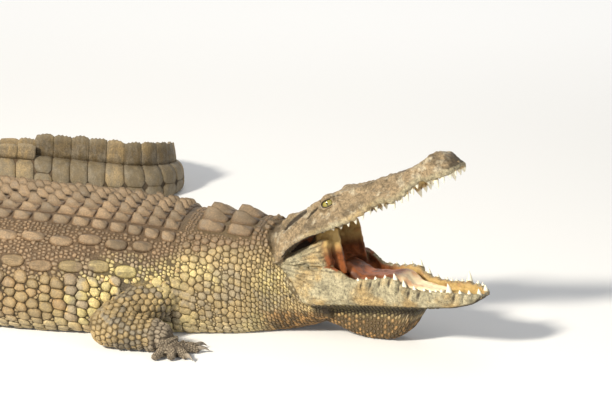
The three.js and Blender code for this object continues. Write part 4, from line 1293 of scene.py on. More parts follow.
def build_flanks(ground):
    """The packed, domed scales of the flanks, and granules round the ovals above them."""
    p, draw, groups = sizes(), dice(2), []

    def flank(s):
        return FLANK_SHARE * girth(s), BELLY_SHARE * girth(s)

    for side in (1, -1):
        seeds, halves = seed_rows(
            0.262, TAIL_START, lambda s: p.flank_scale * np.interp(s, [0.26, 0.5], [0.92, 1.12]),
            flank, draw, 0.13, 0.98)
        beads, small = seed_rows(0.262, TAIL_START, lambda s: p.bead * 2.6, flank, draw, 0.3)
        seeds, halves = add_beads(seeds, halves, beads, small * 0.8)
        groups.append(domes(ground, body_surface, seeds * [1, side], halves, p.flank_rise, draw,
                            clear=outside_limbs))
        grain, small = seed_rows(0.285, TAIL_START, lambda s: 0.0108,
                                 lambda s: (BACK_EDGE + 0.003, FLANK_SHARE * girth(s) + 0.008),
                                 draw, 0.24, 0.95)
        small *= draw.uniform(0.7, 1.25, len(small))
        free = outside_ovals(grain, oval_cells(draw))
        free &= (grain[:, 1] > SHOULDER_ROW[1] + 0.001) | (grain[:, 0] < DORSAL_START)
        groups.append(domes(ground, body_surface, grain[free] * [1, side], small[free], 0.42,
                            draw, 8, BEAD, 0.0007, clear=outside_limbs))
    scale_piece("flank_scales", groups)


def build_belly(ground):
    """Smooth, squared scales in straight rows under the body."""
    draw, groups = dice(3), []
    for side in (1, -1):
        seeds, halves = seed_rows(
            0.262, TAIL_START, lambda s: sizes().belly_scale,
            lambda s: (BELLY_SHARE * girth(s), 0.998 * girth(s)), draw, 0.05)
        groups.append(domes(ground, body_surface, seeds * [1, side], halves, 0.20, draw, 12,
                            FLAT, clear=outside_limbs))
    scale_piece("belly_scales", groups)


def build_neck(ground):
    """The scales of the neck: a fine net behind the head, domes with beads towards the hand."""
    scale, draw, groups = sizes().neck_scale, dice(4), []
    shield_end = 1.85 * NUCHAL_COLUMN + 0.004

    def pitch(s):
        return scale * np.interp(s, [-0.08, 0.0, 0.07, 0.11, 0.17, 0.27],
                                 [0.60, 0.70, 0.85, 1.15, 1.40, 1.60])

    def arcs(s):
        return np.interp(s, [0.085, 0.115], [0.010, shield_end + 0.012]), 0.995 * girth(s)

    for side in (1, -1):
        seeds, halves = seed_rows(-0.110, 0.270, pitch, arcs, draw, 0.20)
        halves = halves * np.where(halves * 2 / scale > 1.0, 0.93, 1.0)
        beads, small = seed_rows(0.085, 0.290, lambda s: 0.0088,
                                 lambda s: (0.006, 0.72 * girth(s)), draw, 0.28, 0.95)
        s, arc = beads.T
        free = (s < NUCHAL_START - 0.004) | (s > NUCHAL_START + 2 * NUCHAL_PITCH + 0.003) \
            | (arc > shield_end)
        seeds, halves = add_beads(seeds, halves, beads[free], small[free] * 0.82)
        s, arc = seeds.T
        free = (s < 0.056) | (s > 0.088) | (arc < 0.012) | (arc > 0.068)
        seeds, halves = seeds[free], halves[free]
        big = halves > 0.0064
        for chosen, sides, rings, crease in ((big, 12, DOME, 0.0005), (~big, 8, BEAD, 0.0004)):
            groups.append(domes(ground, body_surface, seeds * [1, side], halves, 0.42, draw,
                                sides, rings, crease, chosen, clear=head_clear))
    scale_piece("neck_scales", groups)


def ring_tones():
    """How dark each ring of the tail is: a few light ones between dark ones."""
    return dice(12).uniform(0, 1, len(whorl_rows()) - 1)


def build_tail(ground):
    """Rings of long, squared plates round the tail."""
    draw, rows, groups, sides = dice(5), whorl_rows(), [], 16
    turn = (np.arange(sides) + 0.5) * pi / 8
    c, s = np.cos(turn), np.sin(turn)
    outline = np.stack([c, s], -1) / (np.abs(c) ** 11 + np.abs(s) ** 11)[:, None] ** (1 / 11)
    rings = ((1.0, -0.30), (0.99, 0.55), (0.96, 0.95), (0.45, 1.0))
    flat = np.concatenate([outline * share for share, _ in rings] + [[[0, 0]]])
    rise = np.append(np.repeat([high for _, high in rings], sides), 1.02)
    faces = grid_faces(4, sides).tolist()
    faces += [(48 + j, 48 + (j + 1) % sides, 64) for j in range(sides)]
    faces.append(range(sides - 1, -1, -1))
    for low, high, ring_tone in zip(rows[:-1], rows[1:], ring_tones()):
        middle = (low + high) / 2
        spread = float(CREST_SPREAD(middle)) if middle < CREST_MERGES else 0.0
        near, end = spread + (0.012 if spread else 0.005), 0.985 * float(girth(middle))
        count = max(2, round((end - near) / TAIL_PLATE) + 1)
        patches = [np.linspace(near, end, count)]
        if spread:
            patches.append([0, spread - 0.010])
        for edges in patches:
            quads = cells([low, high], lambda s: edges, 0.012, 0.015, draw)
            for side in (1, -1):
                tone = np.clip(ring_tone + draw.uniform(-0.15, 0.15, len(quads)), 0, 1)
                groups.append(plates(
                    ground, body_surface, on_side(quads, side), (flat, rise, 0 * rise, faces),
                    0.0036, 0.0, draw, clear=outside_limbs, tone=tone))
    scale_piece("tail_scales", groups)


def blade(s0, s1, arc, height, lean, foot, valley):
    """One blade of the tail's crest: a thin leaf that rises backward to a peak and drops."""
    u = np.linspace(0, 1, 11)
    fall = np.maximum(u - 0.60, 0) / 0.42
    peak = np.where(u < 0.60, np.sin(0.5 * pi * u / 0.60) ** 0.26,
                    np.cos(0.5 * pi * fall) ** 0.15)
    notches = 0.030 * np.sin(u * 31 + s0 * 90) + 0.026 * np.sin(u * 57 + s0 * 50)
    rise = (valley + (1 - valley) * peak) * (1 + notches * (u > 0.1))
    levels = np.array([0, 0.3, 0.6, 0.82, 0.95, 1.0])
    s = s0 + (s1 - s0) * (u[:, None] * 1.04 + 0.05 * levels[None] * u[:, None])
    tall = height * rise[:, None] * levels[None]
    thick = foot * (1 - 0.86 * levels[None] ** 1.5) * (0.58 + 0.42 * np.sin(
        pi * np.clip(u, 0.04, 0.96)) ** 0.45)[:, None]
    arcs = np.full(s.shape, arc)
    base = body_surface(s, arcs)
    up = unit(np.array([0, 0, 1.0]) * (1 - lean) + normals_of(body_surface, s, arcs) * lean)
    across = unit(np.cross(body_surface(s + 0.004, arcs) - base, up))
    middle = base + up * (tall + 0.006 * levels - 0.006)[..., None]
    side = across * (thick + 0.0007 * np.sin(u * 19)[:, None] * levels)[..., None]
    points, faces = tube(np.concatenate([middle + side, (middle - side)[:, ::-1]], 1))
    share = np.concatenate([np.tile(np.append(levels, levels[::-1]), len(u)), [0.5, 0.5]])
    return points, faces, share


def build_crest():
    """The blades along the top of the tail: two rows that meet in one."""
    draw, rows, blades = dice(6), whorl_rows(), []
    for low, high, shade in zip(rows[:-1], rows[1:], ring_tones()):
        middle = (low + high) / 2
        height = float(CREST_HEIGHT(low + 0.72 * (high - low))) + 0.002
        spread, half = float(CREST_SPREAD(middle)), float(HALF_WIDTH(middle))
        arcs, lean, slim, valley = ((spread, -spread), 0.10, 0.75, 0.60) \
            if middle < CREST_MERGES else ((0.0,), 0.0, 1.0, 0.68)
        for arc in arcs:
            points, faces, share = blade(low, high, arc, height * draw.uniform(0.90, 1.0), lean,
                                         min(0.013, 0.3 * half) * slim, valley)
            count = len(points)
            blades.append({
                "points": points, "faces": faces,
                "centre": np.tile(body_surface(middle, arc), (count, 1)),
                "raised": 0.40 + 0.60 * share, "tone": np.full(count, shade),
                "root": np.tile([middle, arc], (count, 1)),
                "flat": np.stack([np.linspace(-1, 1, count), 2 * share - 1], -1)})
    scale_piece("tail_crest", blades)


def inside_body(points):
    """Which points lie inside the neck, trunk or tail."""
    s, out = body_place(points)
    half, level, top = HALF_WIDTH(s), WIDEST_LEVEL(s), TOP(s)
    reach = np.minimum(1, np.abs(out) / half)
    back = level + (top - level) * (1 - reach ** FULLNESS_TOP) ** (1 / FULLNESS_TOP)
    return (np.abs(out) < half) & (points[:, 2] < back)


def leg_groups(ground, leg, side, window_at, draw):
    """Scales on one leg: squarish on the upper parts and fine on hand and toes."""
    p, groups, forms = sizes(), [], leg_forms(leg, side)
    widths = [p.leg_scale * (1.35 if leg is HINDLEG else 1.15), p.leg_scale, p.hand_scale]
    widths += [p.hand_scale * 0.9] * len(leg["toes"])
    for i, (form, width) in enumerate(zip(forms, widths)):
        surface, length, mean = limb_surface(form)
        low, high, around = -0.5 * form[2][0], length + 0.55 * form[2][1], pi * mean
        seeds, halves = seed_rows(low, high, lambda s: width, lambda s: (-around, around), draw,
                                  0.17)

        def clear(base):
            good = (base[:, 2] > 0.004) & ~inside_body(base)
            for start, end, radii, _, _ in forms[:i] + forms[i + 1:]:
                t, gap = off_axis(base, start, end)
                good &= gap > (radii[0] + (radii[1] - radii[0]) * t) * 0.97
            return good

        sides, rings, crease = (8, BEAD, 0.0006) if i > 1 else (10, DOME, 0.0009)
        group = domes(ground, surface, seeds, halves, 0.42, draw, sides, rings, crease,
                      clear=clear, reach=0.016, slack=0.010)
        if group:
            along, arc = group["root"].T
            share = window_at + (i + (along - low) / (high - low)) / len(forms)
            group["root"] = np.stack([share, arc / (2 * around) + 0.5], -1)
            groups.append(group)
    return groups


def build_legs(ground):
    """The scales of the forelegs and those of the hindlegs."""
    for number, (name, leg) in enumerate(ALL_LEGS):
        draw = dice(7 + number)
        groups = leg_groups(ground, leg, -1, 0.0, draw) + leg_groups(ground, leg, 1, 1.0, draw)
        scale_piece(name + "_scales", groups, ((0, 2), (0, 1)))


def build_throat(ground):
    """Fine squared scales in rows on the pouch and the underside of the lower jaw."""
    draw, groups = dice(9), []
    x = np.linspace(LOWER_BACK, LOWER_TIP, 121)
    rings = smooth_ring(lower_sections(x), 10)
    half = rings[:, :rings.shape[1] * 3 // 16 + 2]
    arcs = np.cumsum(norm(np.diff(half, axis=1), axis=-1), axis=1)[:, -1]

    def surface(a, b):
        row = np.clip((a - LOWER_BACK) / (LOWER_TIP - LOWER_BACK), 0, 1) * (len(x) - 1)
        i = np.minimum(row.astype(int), len(x) - 2)
        u = (row - i)[..., None]
        flat = []
        for k in (i, i + 1):
            share = np.clip(np.abs(b) / arcs[k], 0, 1) * (half.shape[1] - 1)
            j = np.minimum(share.astype(int), half.shape[1] - 2)
            v = (share - j)[..., None]
            flat.append(half[k, j] * (1 - v) + half[k, j + 1] * v)
        place = flat[0] * (1 - u) + flat[1] * u
        return jaw_point(LOWER_PITCH, a, np.sign(b) * place[..., 0], place[..., 1])

    for side in (1, -1):
        seeds, halves = seed_rows(-0.030, 0.440, lambda s: sizes().throat_scale,
                                  lambda s: (0.002, np.interp(s, x, arcs)), draw, 0.07)
        groups.append(domes(ground, surface, seeds * [1, side], halves, 0.34, draw, 8, BEAD,
                            0.0014, reach=0.012, slack=0.009,
                            clear=lambda base: base[:, 2] > 0.002))
    scale_piece("throat_scales", groups, ((-0.04, 0.46), (-0.25, 0.25)))


# ---- eyes, teeth, tongue and claws


def eye_axes(side):
    """Ahead, up and outward directions of an eye."""
    out = unit(np.array([0.22, side * 0.94, 0.26]))
    ahead = np.array([cos(UPPER_PITCH), 0, sin(UPPER_PITCH)])
    ahead = unit(ahead - out * (ahead @ out))
    return ahead, np.cross(out, ahead) * side * -1.0, out


def build_lids():
    """The rims of both pairs of eyelids, which roll over the eyeballs, and their folds, with shade
    painted inside the rims and in two creases.
    """
    turn = circle(72)
    c, s = np.cos(turn), np.sin(turn)
    opening = 1 / np.hypot(c / 0.98, s / np.where(s > 0, 0.38, 0.50))
    opening = opening + 0.34 * np.clip(c, 0, 1) ** 6 + 0.08 * np.clip(-c, 0, 1) ** 6
    # Rows from inside the rim to under the skin: added angle, and radius.
    rows = [(-0.02, 0.0164), (0.00, 0.0182), (0.03, 0.0202), (0.09, 0.0217), (0.16, 0.0218),
            (0.22, 0.0208), (0.30, 0.0216), (0.40, 0.0224), (0.50, 0.0221), (0.62, 0.0208),
            (0.80, 0.0186), (1.00, 0.0145)]
    # Painted shade of each row: darkest inside the rim, half as dark in two creases.
    lid_shade_painted = [1, 1, 1, 0, 0, 0.45, 0, 0, 0, 0.45, 0, 0]
    for side, word in ((-1, "right"), (1, "left")):
        rings = []
        for extra, radius in rows:
            angle = np.minimum(opening + extra, 1.60 + 0.5 * extra)
            wave = 1 + 0.012 * np.sin(turn * 9 + extra * 14) * (extra > 0.12)
            r = radius * wave + 0.0016 * np.clip(s, 0, 1) * (0.05 < extra) * (extra < 0.7)
            place = np.stack([c * np.sin(angle) * r, s * np.sin(angle) * r, np.cos(angle) * r], -1)
            rings.append(eye_centre(side) + place @ np.array(eye_axes(side)))
        lids = closed_form(f"lids_{word}", np.concatenate(rings),
                           grid_faces(len(rows), len(turn)).tolist())
        mark_skin(lids, dark=np.repeat(lid_shade_painted, len(turn)), head=1)
        finish_piece(lids, skin_material(), "skin")


def build_eyes():
    """Both eyeballs, each with a yellow iris and an upright slit pupil."""
    local = np.roll(sphere(40, 64, 0.01), -1, axis=-1)
    for side, name in ((-1, "eye_right"), (1, "eye_left")):
        axes = eye_axes(side)
        points, faces = tube(eye_centre(side) + local @ np.array(axes) * (EYE_RADIUS - 0.0004))
        eye = closed_form(name + "_ball", points, faces)
        for axis, word in zip(axes, ("across", "upright", "outward")):
            mark(eye, word, (points - eye_centre(side)) @ axis / EYE_RADIUS)
        finish_piece(eye, eye_material(), "eye", name)


def tooth_form(root, up, lean, length, radius):
    """A slim cone with a rounded tip that bends a little along lean."""
    t = np.array([-0.35, 0.0, 0.2, 0.4, 0.6, 0.76, 0.88, 0.96, 0.995])
    rise, turn = np.clip(t, 0, 1), circle(12)
    across = unit(np.cross(up, lean))
    ahead = np.cross(across, up)
    width = radius * np.clip(1 - rise ** 1.35, 0.0, 1) ** 0.85 * (1 + 0.1 * (t < 0))
    middle = root + up * (length * t)[:, None] + ahead * (0.20 * length * rise ** 2)[:, None]
    ring = across * np.cos(turn)[:, None] + ahead * np.sin(turn)[:, None]
    points, faces = tube(middle[:, None] + ring * np.maximum(width, 0.0003)[:, None, None])
    return points, faces, np.concatenate([np.repeat(rise, 12), [0, 1]])


def build_teeth():
    """The upper and the lower rows of teeth, one piece for each jaw."""
    draw = dice(10)
    rows = (
        ("upper_teeth", UPPER_TEETH, UPPER_PITCH, -1.0, LIP_HALF_WIDTH, 0.009, LIP, 0.002),
        ("lower_teeth", LOWER_TEETH, LOWER_PITCH, 1.0, JAW_HALF_WIDTH, 0.008, JAW_TOP, -0.001))
    for name, teeth, pitch, sense, half, inset, edge, rise in rows:
        c, s = cos(pitch), sin(pitch)
        up, forms = np.array([-s, 0, c]) * sense, []
        for x, bare in teeth:
            wide = float(half(x * MM))
            out = wide - min(inset, 0.3 * wide)
            for side in (-1, 1):
                length = bare * MM * draw.uniform(0.90, 1.02)
                root = jaw_point(pitch, x * MM, side * out, float(edge(x * MM)) + rise)
                splay = unit(up + np.array([0, side * 0.10, 0]) + draw.normal(size=3) * 0.05)
                lean = np.array([-c, -side * 0.25, -s])
                forms.append(tooth_form(root, splay, lean, length, 0.0034 + length * 0.20))
        points, faces, share = gather(forms)
        obj = closed_form(name, points, faces)
        mark(obj, "tip", share)
        finish_piece(obj, tooth_material(), "claw")


def build_tongue():
    """The broad flat tongue, held down along the floor of the mouth."""
    x = np.linspace(0.110, 0.430, 70)
    t = (x - x[0]) / (x[-1] - x[0])
    floor = JAW_TOP(x) - np.minimum(0.024, 0.45 * (JAW_TOP(x) - JAW_BOTTOM(x)))
    wide = 0.048 * np.sin(pi * (0.24 + 0.66 * t)) ** 0.6
    thick = 0.030 * (0.3 + 0.7 * np.sin(pi * (0.15 + 0.72 * t)))
    ring = smooth_ring(mirrored([
        (0 * x, floor - 0.004), (wide * 0.8, floor - 0.004), (wide * 0.98, floor + thick * 0.45),
        (wide * 0.70, floor + thick * 0.90), (0 * x, floor + thick * 0.80)]), 8)
    tongue = closed_form("tongue_flesh", *tube(
        jaw_point(LOWER_PITCH, x[:, None], ring[..., 0], ring[..., 1])))
    points, normals = read_points(tongue.data), read_points(tongue.data, "normal")
    wrinkle = 0.0012 * ripple(points, 0.018, 41) + 0.0010 * ripple(points, 0.045, 42)
    set_coordinates(tongue.data, points + normals * wrinkle[:, None])
    mark(tongue, "ahead", (jaw_place(LOWER_PITCH, points)[0] - x[0]) / (x[-1] - x[0]))
    finish_piece(tongue, tongue_material(), "tongue", "tongue")


def claw_form(tip, ahead, radius):
    """A claw on the tip of a toe, which arches forward and bends down."""
    t = np.array([-0.25, 0.0, 0.15, 0.35, 0.55, 0.75, 0.9, 1.0])
    out, turn = np.clip(t, 0, 1), circle(14)
    root = tip + ahead * radius * 0.4
    root[2] = radius * 0.75
    middle = root + ahead * (CLAW_LENGTH * t)[:, None]
    middle[:, 2] += 0.004 * np.sin(pi * out) - CLAW_DROP * out ** 2
    across = np.array([-ahead[1], ahead[0], 0])
    ring = across * 0.75 * np.cos(turn)[:, None] + np.array([0, 0, 1.0]) * np.sin(turn)[:, None]
    width = radius * 0.5 * (1 - 0.92 * out ** 1.2)
    rings = middle[:, None] + ring * width[:, None, None]
    rings[..., 2] = np.maximum(rings[..., 2], 0.0002)
    return tube(rings)


def build_claws():
    """The claws: three on each hand and foot, as one piece for each of them."""
    for name, leg in ALL_LEGS:
        for side, word in ((-1, "right"), (1, "left")):
            for i, (_, tip, ahead, clawed) in enumerate(toe_lines(leg, side), 1):
                if clawed:
                    node = f"{name}_{word}_claw_{i}"
                    claw = closed_form(node + "_horn", *claw_form(tip, ahead, leg["toe"] * MM))
                    finish_piece(claw, claw_material(), "claw", node)


# ---- materials


class Paint:
    """One material and the nodes that make it. Marks of a piece are given by their names."""

    def __init__(self, name, **sockets):
        self.material = bpy.data.materials.new(name)
        self.material.use_nodes = True
        self.nodes, self.links = self.material.node_tree.nodes, self.material.node_tree.links
        self.shader = self.nodes["Principled BSDF"]
        for key, value in sockets.items():
            self.feed(self.shader.inputs[key.replace("_", " ")], value)
        self.place = self.node("ShaderNodeTexCoord").outputs["Object"]

    def node(self, kind, inputs=None, **settings):
        node = self.nodes.new(kind)
        for key, value in settings.items():
            setattr(node, key, value)
        for key, value in (inputs or {}).items():
            self.feed(node.inputs[key], value)
        return node

    def feed(self, socket, value):
        """Gives a socket a number, a colour, the output of a node or a mark."""
        if isinstance(value, str):
            value = self.mark(value)
        if isinstance(value, bpy.types.NodeSocket):
            self.links.new(value, socket)
        elif socket.type == "RGBA":
            socket.default_value = (*value, 1.0)
        else:
            socket.default_value = value

    def mark(self, name):
        return self.node("ShaderNodeAttribute", attribute_name=name).outputs["Fac"]

    def noise(self, scale, detail=3.0, rough=0.55, stretch=None):
        place = self.place
        if stretch:
            place = self.node("ShaderNodeMapping", {"Vector": place, "Scale": stretch}).outputs[0]
        inputs = {"Vector": place, "Scale": scale, "Detail": detail, "Roughness": rough}
        return self.node("ShaderNodeTexNoise", inputs).outputs["Fac"]

    def cracks(self, scale, warp):
        """Distance to the edges of cells, wandering a little."""
        noise = self.node("ShaderNodeTexNoise", {"Vector": self.place, "Scale": scale * 0.7})
        inputs = {"Factor": warp, "A": self.place, "B": noise.outputs["Color"]}
        place = self.node("ShaderNodeMix", inputs, data_type="VECTOR").outputs["Result"]
        return self.node("ShaderNodeTexVoronoi", {"Vector": place, "Scale": scale},
                         feature="DISTANCE_TO_EDGE").outputs["Distance"]

    def dots(self, scale):
        inputs = {"Vector": self.place, "Scale": scale}
        return self.node("ShaderNodeTexVoronoi", inputs).outputs["Distance"]

    def ramp(self, value, low, high, start=0.0, end=1.0):
        """Where a number lies between two limits, smoothly, as another number."""
        return self.node("ShaderNodeMapRange", {
            "Value": value, "From Min": low, "From Max": high, "To Min": start, "To Max": end},
            interpolation_type="SMOOTHSTEP").outputs["Result"]

    def sum(self, kind, a, b=0.0):
        return self.node("ShaderNodeMath", {0: a, 1: b}, operation=kind).outputs[0]

    def times(self, a, b):
        return self.sum("MULTIPLY", a, b)

    def plus(self, a, b):
        return self.sum("ADD", a, b)

    def mix(self, a, b, factor, *ramp, kind="MIX"):
        """From a to b as a factor grows, within the limits of a ramp if they are given."""
        node = self.node("ShaderNodeMix", data_type="RGBA", blend_type=kind)
        self.feed(node.inputs["Factor"], self.ramp(factor, *ramp) if ramp else factor)
        for socket, value in zip([s for s in node.inputs if s.type == "RGBA"], (a, b)):
            self.feed(socket, value)
        return next(s for s in node.outputs if s.type == "RGBA")

    def shaded(self, colour, *ramp):
        """A colour made darker or lighter by a ramp."""
        shade = self.ramp(*ramp)
        grey = self.node("ShaderNodeCombineColor", {0: shade, 1: shade, 2: shade}).outputs[0]
        return self.mix(colour, grey, 1.0, kind="MULTIPLY")

    def bump(self, height, distance, strength, under=None):
        inputs = {"Height": height, "Distance": distance, "Strength": strength}
        if under is not None:
            inputs["Normal"] = under
        return self.node("ShaderNodeBump", inputs).outputs["Normal"]

    def finish(self, colour, roughness=None, normal=None):
        for key, value in (("Base Color", colour), ("Roughness", roughness),
                           ("Normal", normal)):
            if value is not None:
                self.feed(self.shader.inputs[key], value)
        return self.material


def made_once(build):
    """A material that is built at its first use and shared after that."""
    def shared():
        name = "crocodile_" + build.__name__.replace("_material", "")
        return bpy.data.materials.get(name) or build(name)
    return shared


def darker(tint, share):
    return tuple(v * share for v in tint)


def hide_colour(paint):
    """The colours of the animal's hide, the same on skin and scales."""
    c, tone = colours(), paint.mark("tone")
    broad, clumps = paint.noise(7.0, 2.0), paint.noise(11.0, 3.0, 0.6)
    # Flank and neck: yellow scales, some amber or tan, with patches of slate grey.
    amber = paint.mix(c.flank, c.amber, paint.plus(tone, broad), 1.00, 1.35)
    worn = paint.mix(amber, darker(c.flank, 1.22), tone, 0.30, 0.0, 0.0, 0.8)
    slate = paint.ramp(paint.plus(clumps, paint.times(tone, 0.22)), 0.62, 0.70)
    colour = paint.mix(worn, c.patch, paint.times(slate, 0.80))
    neck = paint.mix(c.neck, c.flank, broad, 0.46, 0.64, 0.0, 0.75)
    neck = paint.mix(neck, c.patch, paint.times(slate, 0.60))
    colour = paint.mix(colour, neck, "neck")
    mud = paint.mix(c.mud, darker(c.mud, 0.6), clumps, 0.42, 0.62)
    colour = paint.mix(colour, mud, paint.times("mud", 0.85))
    dust = paint.mix(c.back, darker(c.back, 0.72), broad, 0.42, 0.68)
    colour = paint.mix(colour, dust, "back")
    colour = paint.mix(colour, c.belly, paint.times("belly", 0.45))
    rings = paint.plus(tone, paint.times(clumps, 0.5))
    tail = paint.mix(c.tail, darker(c.tail, 0.36), rings, 0.62, 0.86)
    stains = paint.noise(34.0, 4.0, 0.7, (1.0, 1.0, 0.4))
    tail = paint.mix(tail, darker(c.patch, 0.8), stains, 0.42, 0.60, 0.0, 0.55)
    colour = paint.mix(colour, tail, "tail")
    limb = paint.mix(c.limb, darker(c.limb, 0.62), broad, 0.42, 0.66)
    limb = paint.mix(limb, darker(c.patch, 0.6), paint.times(slate, 0.85))
    colour = paint.mix(colour, limb, "limb")
    colour = paint.mix(colour, c.hand, "hand")
    pouch = paint.mix(darker(c.throat, 0.42), darker(c.throat, 1.5), tone, 0.25, 0.85)
    colour = paint.mix(colour, pouch, "throat")
    colour = paint.shaded(colour, tone, 0.0, 1.0, 0.80, 1.18)
    colour = paint.shaded(colour, paint.noise(60.0, 3.0), 0.35, 0.65, 0.80, 1.14)
    return paint.shaded(colour, paint.noise(260.0, 4.0), 0.35, 0.70, 0.68, 1.14)


def groove_colour(paint):
    """What lies in the grooves: dark skin, or dust on back and neck."""
    c = colours()
    dusty = paint.mix(c.groove, darker(c.back, 0.72), paint.times("back", 0.85))
    return paint.mix(dusty, darker(c.neck, 0.42), paint.times("neck", 0.6))


@made_once
def coat_material(name):
    """Scales: dusty horn, dark down in the grooves and worn pale on top, with painted shade under
    the jaw.
    """
    paint = Paint(name, Roughness=0.62, Specular_IOR_Level=0.35)
    pale = paint.mix(hide_colour(paint), (0.70, 0.60, 0.42), "raised", 0.80, 1.0, 0.0, 0.10)
    colour = paint.mix(groove_colour(paint), pale, "raised", -0.05, 0.55)
    # Painted shade from the dark mark, on the pouch's scales just under the jaw.
    colour = paint.shaded(colour, "dark", 0.0, 1.0, 1.0, 0.15)
    rough = paint.ramp(paint.noise(60.0), 0.3, 0.7, 0.50, 0.74)
    normal = paint.bump(paint.noise(420.0, 4.0, 0.6), 0.0010, 0.8)
    normal = paint.bump(paint.noise(130.0, 3.0), 0.0016, 0.7, normal)
    return paint.finish(colour, rough, normal)


@made_once
def skin_material(name):
    """Skin: bare and cracked on the head, lined with orange in the mouth, dark between scales, with
    shade painted in creases, slits, pits and under the jaw.
    """
    c = colours()
    paint = Paint(name, Specular_IOR_Level=0.35)
    crack = paint.ramp(paint.cracks(52.0, 0.08), 0.0, 0.035)
    crazed = paint.ramp(paint.cracks(150.0, 0.06), 0.0, 0.075)
    broad, blotch = paint.noise(11.0, 3.0, 0.6), paint.noise(34.0, 3.0, 0.6)
    head = paint.mix(c.head, darker(c.head, 0.52), broad, 0.48, 0.66)
    head = paint.mix(head, (0.58, 0.50, 0.36), blotch, 0.50, 0.62, 0.0, 0.68)
    head = paint.shaded(head, crack, 0.0, 1.0, 0.66, 1.0)
    head = paint.shaded(head, crazed, 0.0, 1.0, 0.74, 1.0)
    head = paint.shaded(head, paint.noise(95.0, 4.0, 0.7), 0.34, 0.60, 0.60, 1.08)
    jaw = paint.mix(c.jaw, (0.56, 0.38, 0.16), broad, 0.46, 0.64, 0.0, 0.85)
    jaw = paint.shaded(jaw, paint.dots(135.0), 0.10, 0.26, 0.42, 1.0)
    jaw = paint.shaded(jaw, paint.cracks(85.0, 0.10), 0.0, 0.05, 0.60, 1.0)
    jaw = paint.shaded(jaw, blotch, 0.36, 0.62, 0.74, 1.10)
    jaw = paint.shaded(jaw, paint.noise(120.0, 4.0, 0.7), 0.34, 0.60, 0.62, 1.06)
    mouth = paint.mix(c.mouth, darker(c.mouth, 0.45), blotch, 0.40, 0.62)
    cream = paint.mix(c.curtain, c.mouth, blotch, 0.50, 0.68, 0.0, 0.4)
    mouth = paint.mix(mouth, cream, "pale")
    hide = paint.mix(groove_colour(paint), hide_colour(paint), "limb", 0.0, 1.0, 0.15, 0.65)
    colour = paint.mix(hide, head, "head")
    colour = paint.mix(colour, jaw, "jaw")
    colour = paint.shaded(colour, paint.noise(210.0, 4.0, 0.7), 0.30, 0.70, 0.74, 1.12)
    colour = paint.mix(colour, mouth, "mouth")
    # Painted shade: near black where the dark mark says, in creases, slits, pits, the mouth's slot
    # and under the jaw.
    colour = paint.mix(colour, (0.030, 0.020, 0.012), "dark", 0.12, 0.85, 0.0, 0.94)
    rough = paint.ramp("mouth", 0.0, 1.0, 0.66, 0.42)
    normal = paint.bump(crack, 0.0022, 0.75)
    normal = paint.bump(crazed, 0.0010, 0.60, normal)
    normal = paint.bump(paint.noise(300.0, 4.0, 0.6), 0.0012, 0.7, normal)
    return paint.finish(colour, rough, normal)


@made_once
def eye_material(name):
    """A wet eye: a streaked iris with an upright slit, dark round it."""
    paint, c = Paint(name, Roughness=0.10, Coat_Weight=0.6, Coat_Roughness=0.04), colours()
    iris = paint.mix(c.iris, darker(c.iris, 0.5), paint.noise(900.0, 3.0), 0.35, 0.65)
    colour = paint.mix((0.045, 0.034, 0.012), iris, "outward", 0.34, 0.60)
    tall = paint.times(paint.times("upright", "upright"), 0.20)
    slit = paint.ramp(paint.plus(paint.sum("ABSOLUTE", "across"), tall), 0.075, 0.115, 1.0, 0.0)
    pupil = paint.times(slit, paint.ramp("outward", 0.60, 0.70))
    return paint.finish(paint.mix(colour, (0.004, 0.004, 0.003), pupil))


@made_once
def tooth_material(name):
    """Ivory, stained at the root."""
    paint = Paint(name, Roughness=0.30)
    stain = paint.plus("tip", paint.ramp(paint.noise(140.0), 0.3, 0.7, -0.15, 0.15))
    colour = paint.mix((0.46, 0.31, 0.13), colours().tooth, stain, 0.02, 0.34)
    return paint.finish(colour, None, paint.bump(paint.noise(500.0), 0.0004, 0.4))


@made_once
def tongue_material(name):
    """Tongue: cream in front, orange red and dark towards the throat, partly its own colour and
    partly painted shade from the jaws above.
    """
    paint, c = Paint(name, Roughness=0.45), colours()
    blotch = paint.noise(26.0)
    front = paint.mix(c.tongue, (0.72, 0.42, 0.22), blotch, 0.50, 0.72)
    # The darker rear is partly the tongue's own colour and partly painted shade from the head over
    # it.
    rear = paint.mix(c.mouth, darker(c.mouth, 0.35), blotch, 0.38, 0.58)
    colour = paint.mix(rear, front, "ahead", 0.56, 0.72)
    return paint.finish(colour, None, paint.bump(paint.cracks(190.0, 0.05), 0.0016, 0.6))


@made_once
def claw_material(name):
    """Streaked horn."""
    paint, c = Paint(name, Roughness=0.38), colours()
    colour = paint.mix(c.claw, darker(c.claw, 0.4), paint.noise(90.0, 4.0), 0.35, 0.70)
    return paint.finish(colour, None, paint.bump(paint.noise(400.0), 0.0004, 0.4))


def background_rays(nodes, links):
    """1 for the rays that show the background: seen, mirrored or through something clear."""
    path = nodes.new("ShaderNodeLightPath")
    shown = path.outputs["Is Camera Ray"]
    for ray in ("Is Glossy Ray", "Is Transmission Ray"):
        either = nodes.new("ShaderNodeMath")
        either.operation = "MAXIMUM"
        links.new(shown, either.inputs[0])
        links.new(path.outputs[ray], either.inputs[1])
        shown = either.outputs[0]
    return shown


@made_once
def ground_material(name):
    """A pale floor that stays pale far from the lamps, where it is seen or mirrored."""
    paint = Paint(name, Roughness=0.9, Emission_Color=(1.0, 1.0, 1.0))
    away = paint.node("ShaderNodeVectorMath", {0: paint.place}, operation="LENGTH")
    glow = paint.ramp(away.outputs["Value"], 1.8, 7.0, 0.05, 0.62)
    seen = background_rays(paint.nodes, paint.links)
    paint.feed(paint.shader.inputs["Emission Strength"], paint.times(seen, glow))
    return paint.finish(colours().ground)


# ---- stage

VIEW_AZIMUTH, VIEW_ELEVATION = radians(28.5), radians(14.5)
VIEW_DISTANCE = 9.0
LENS, SENSOR = 203.8, 36.0
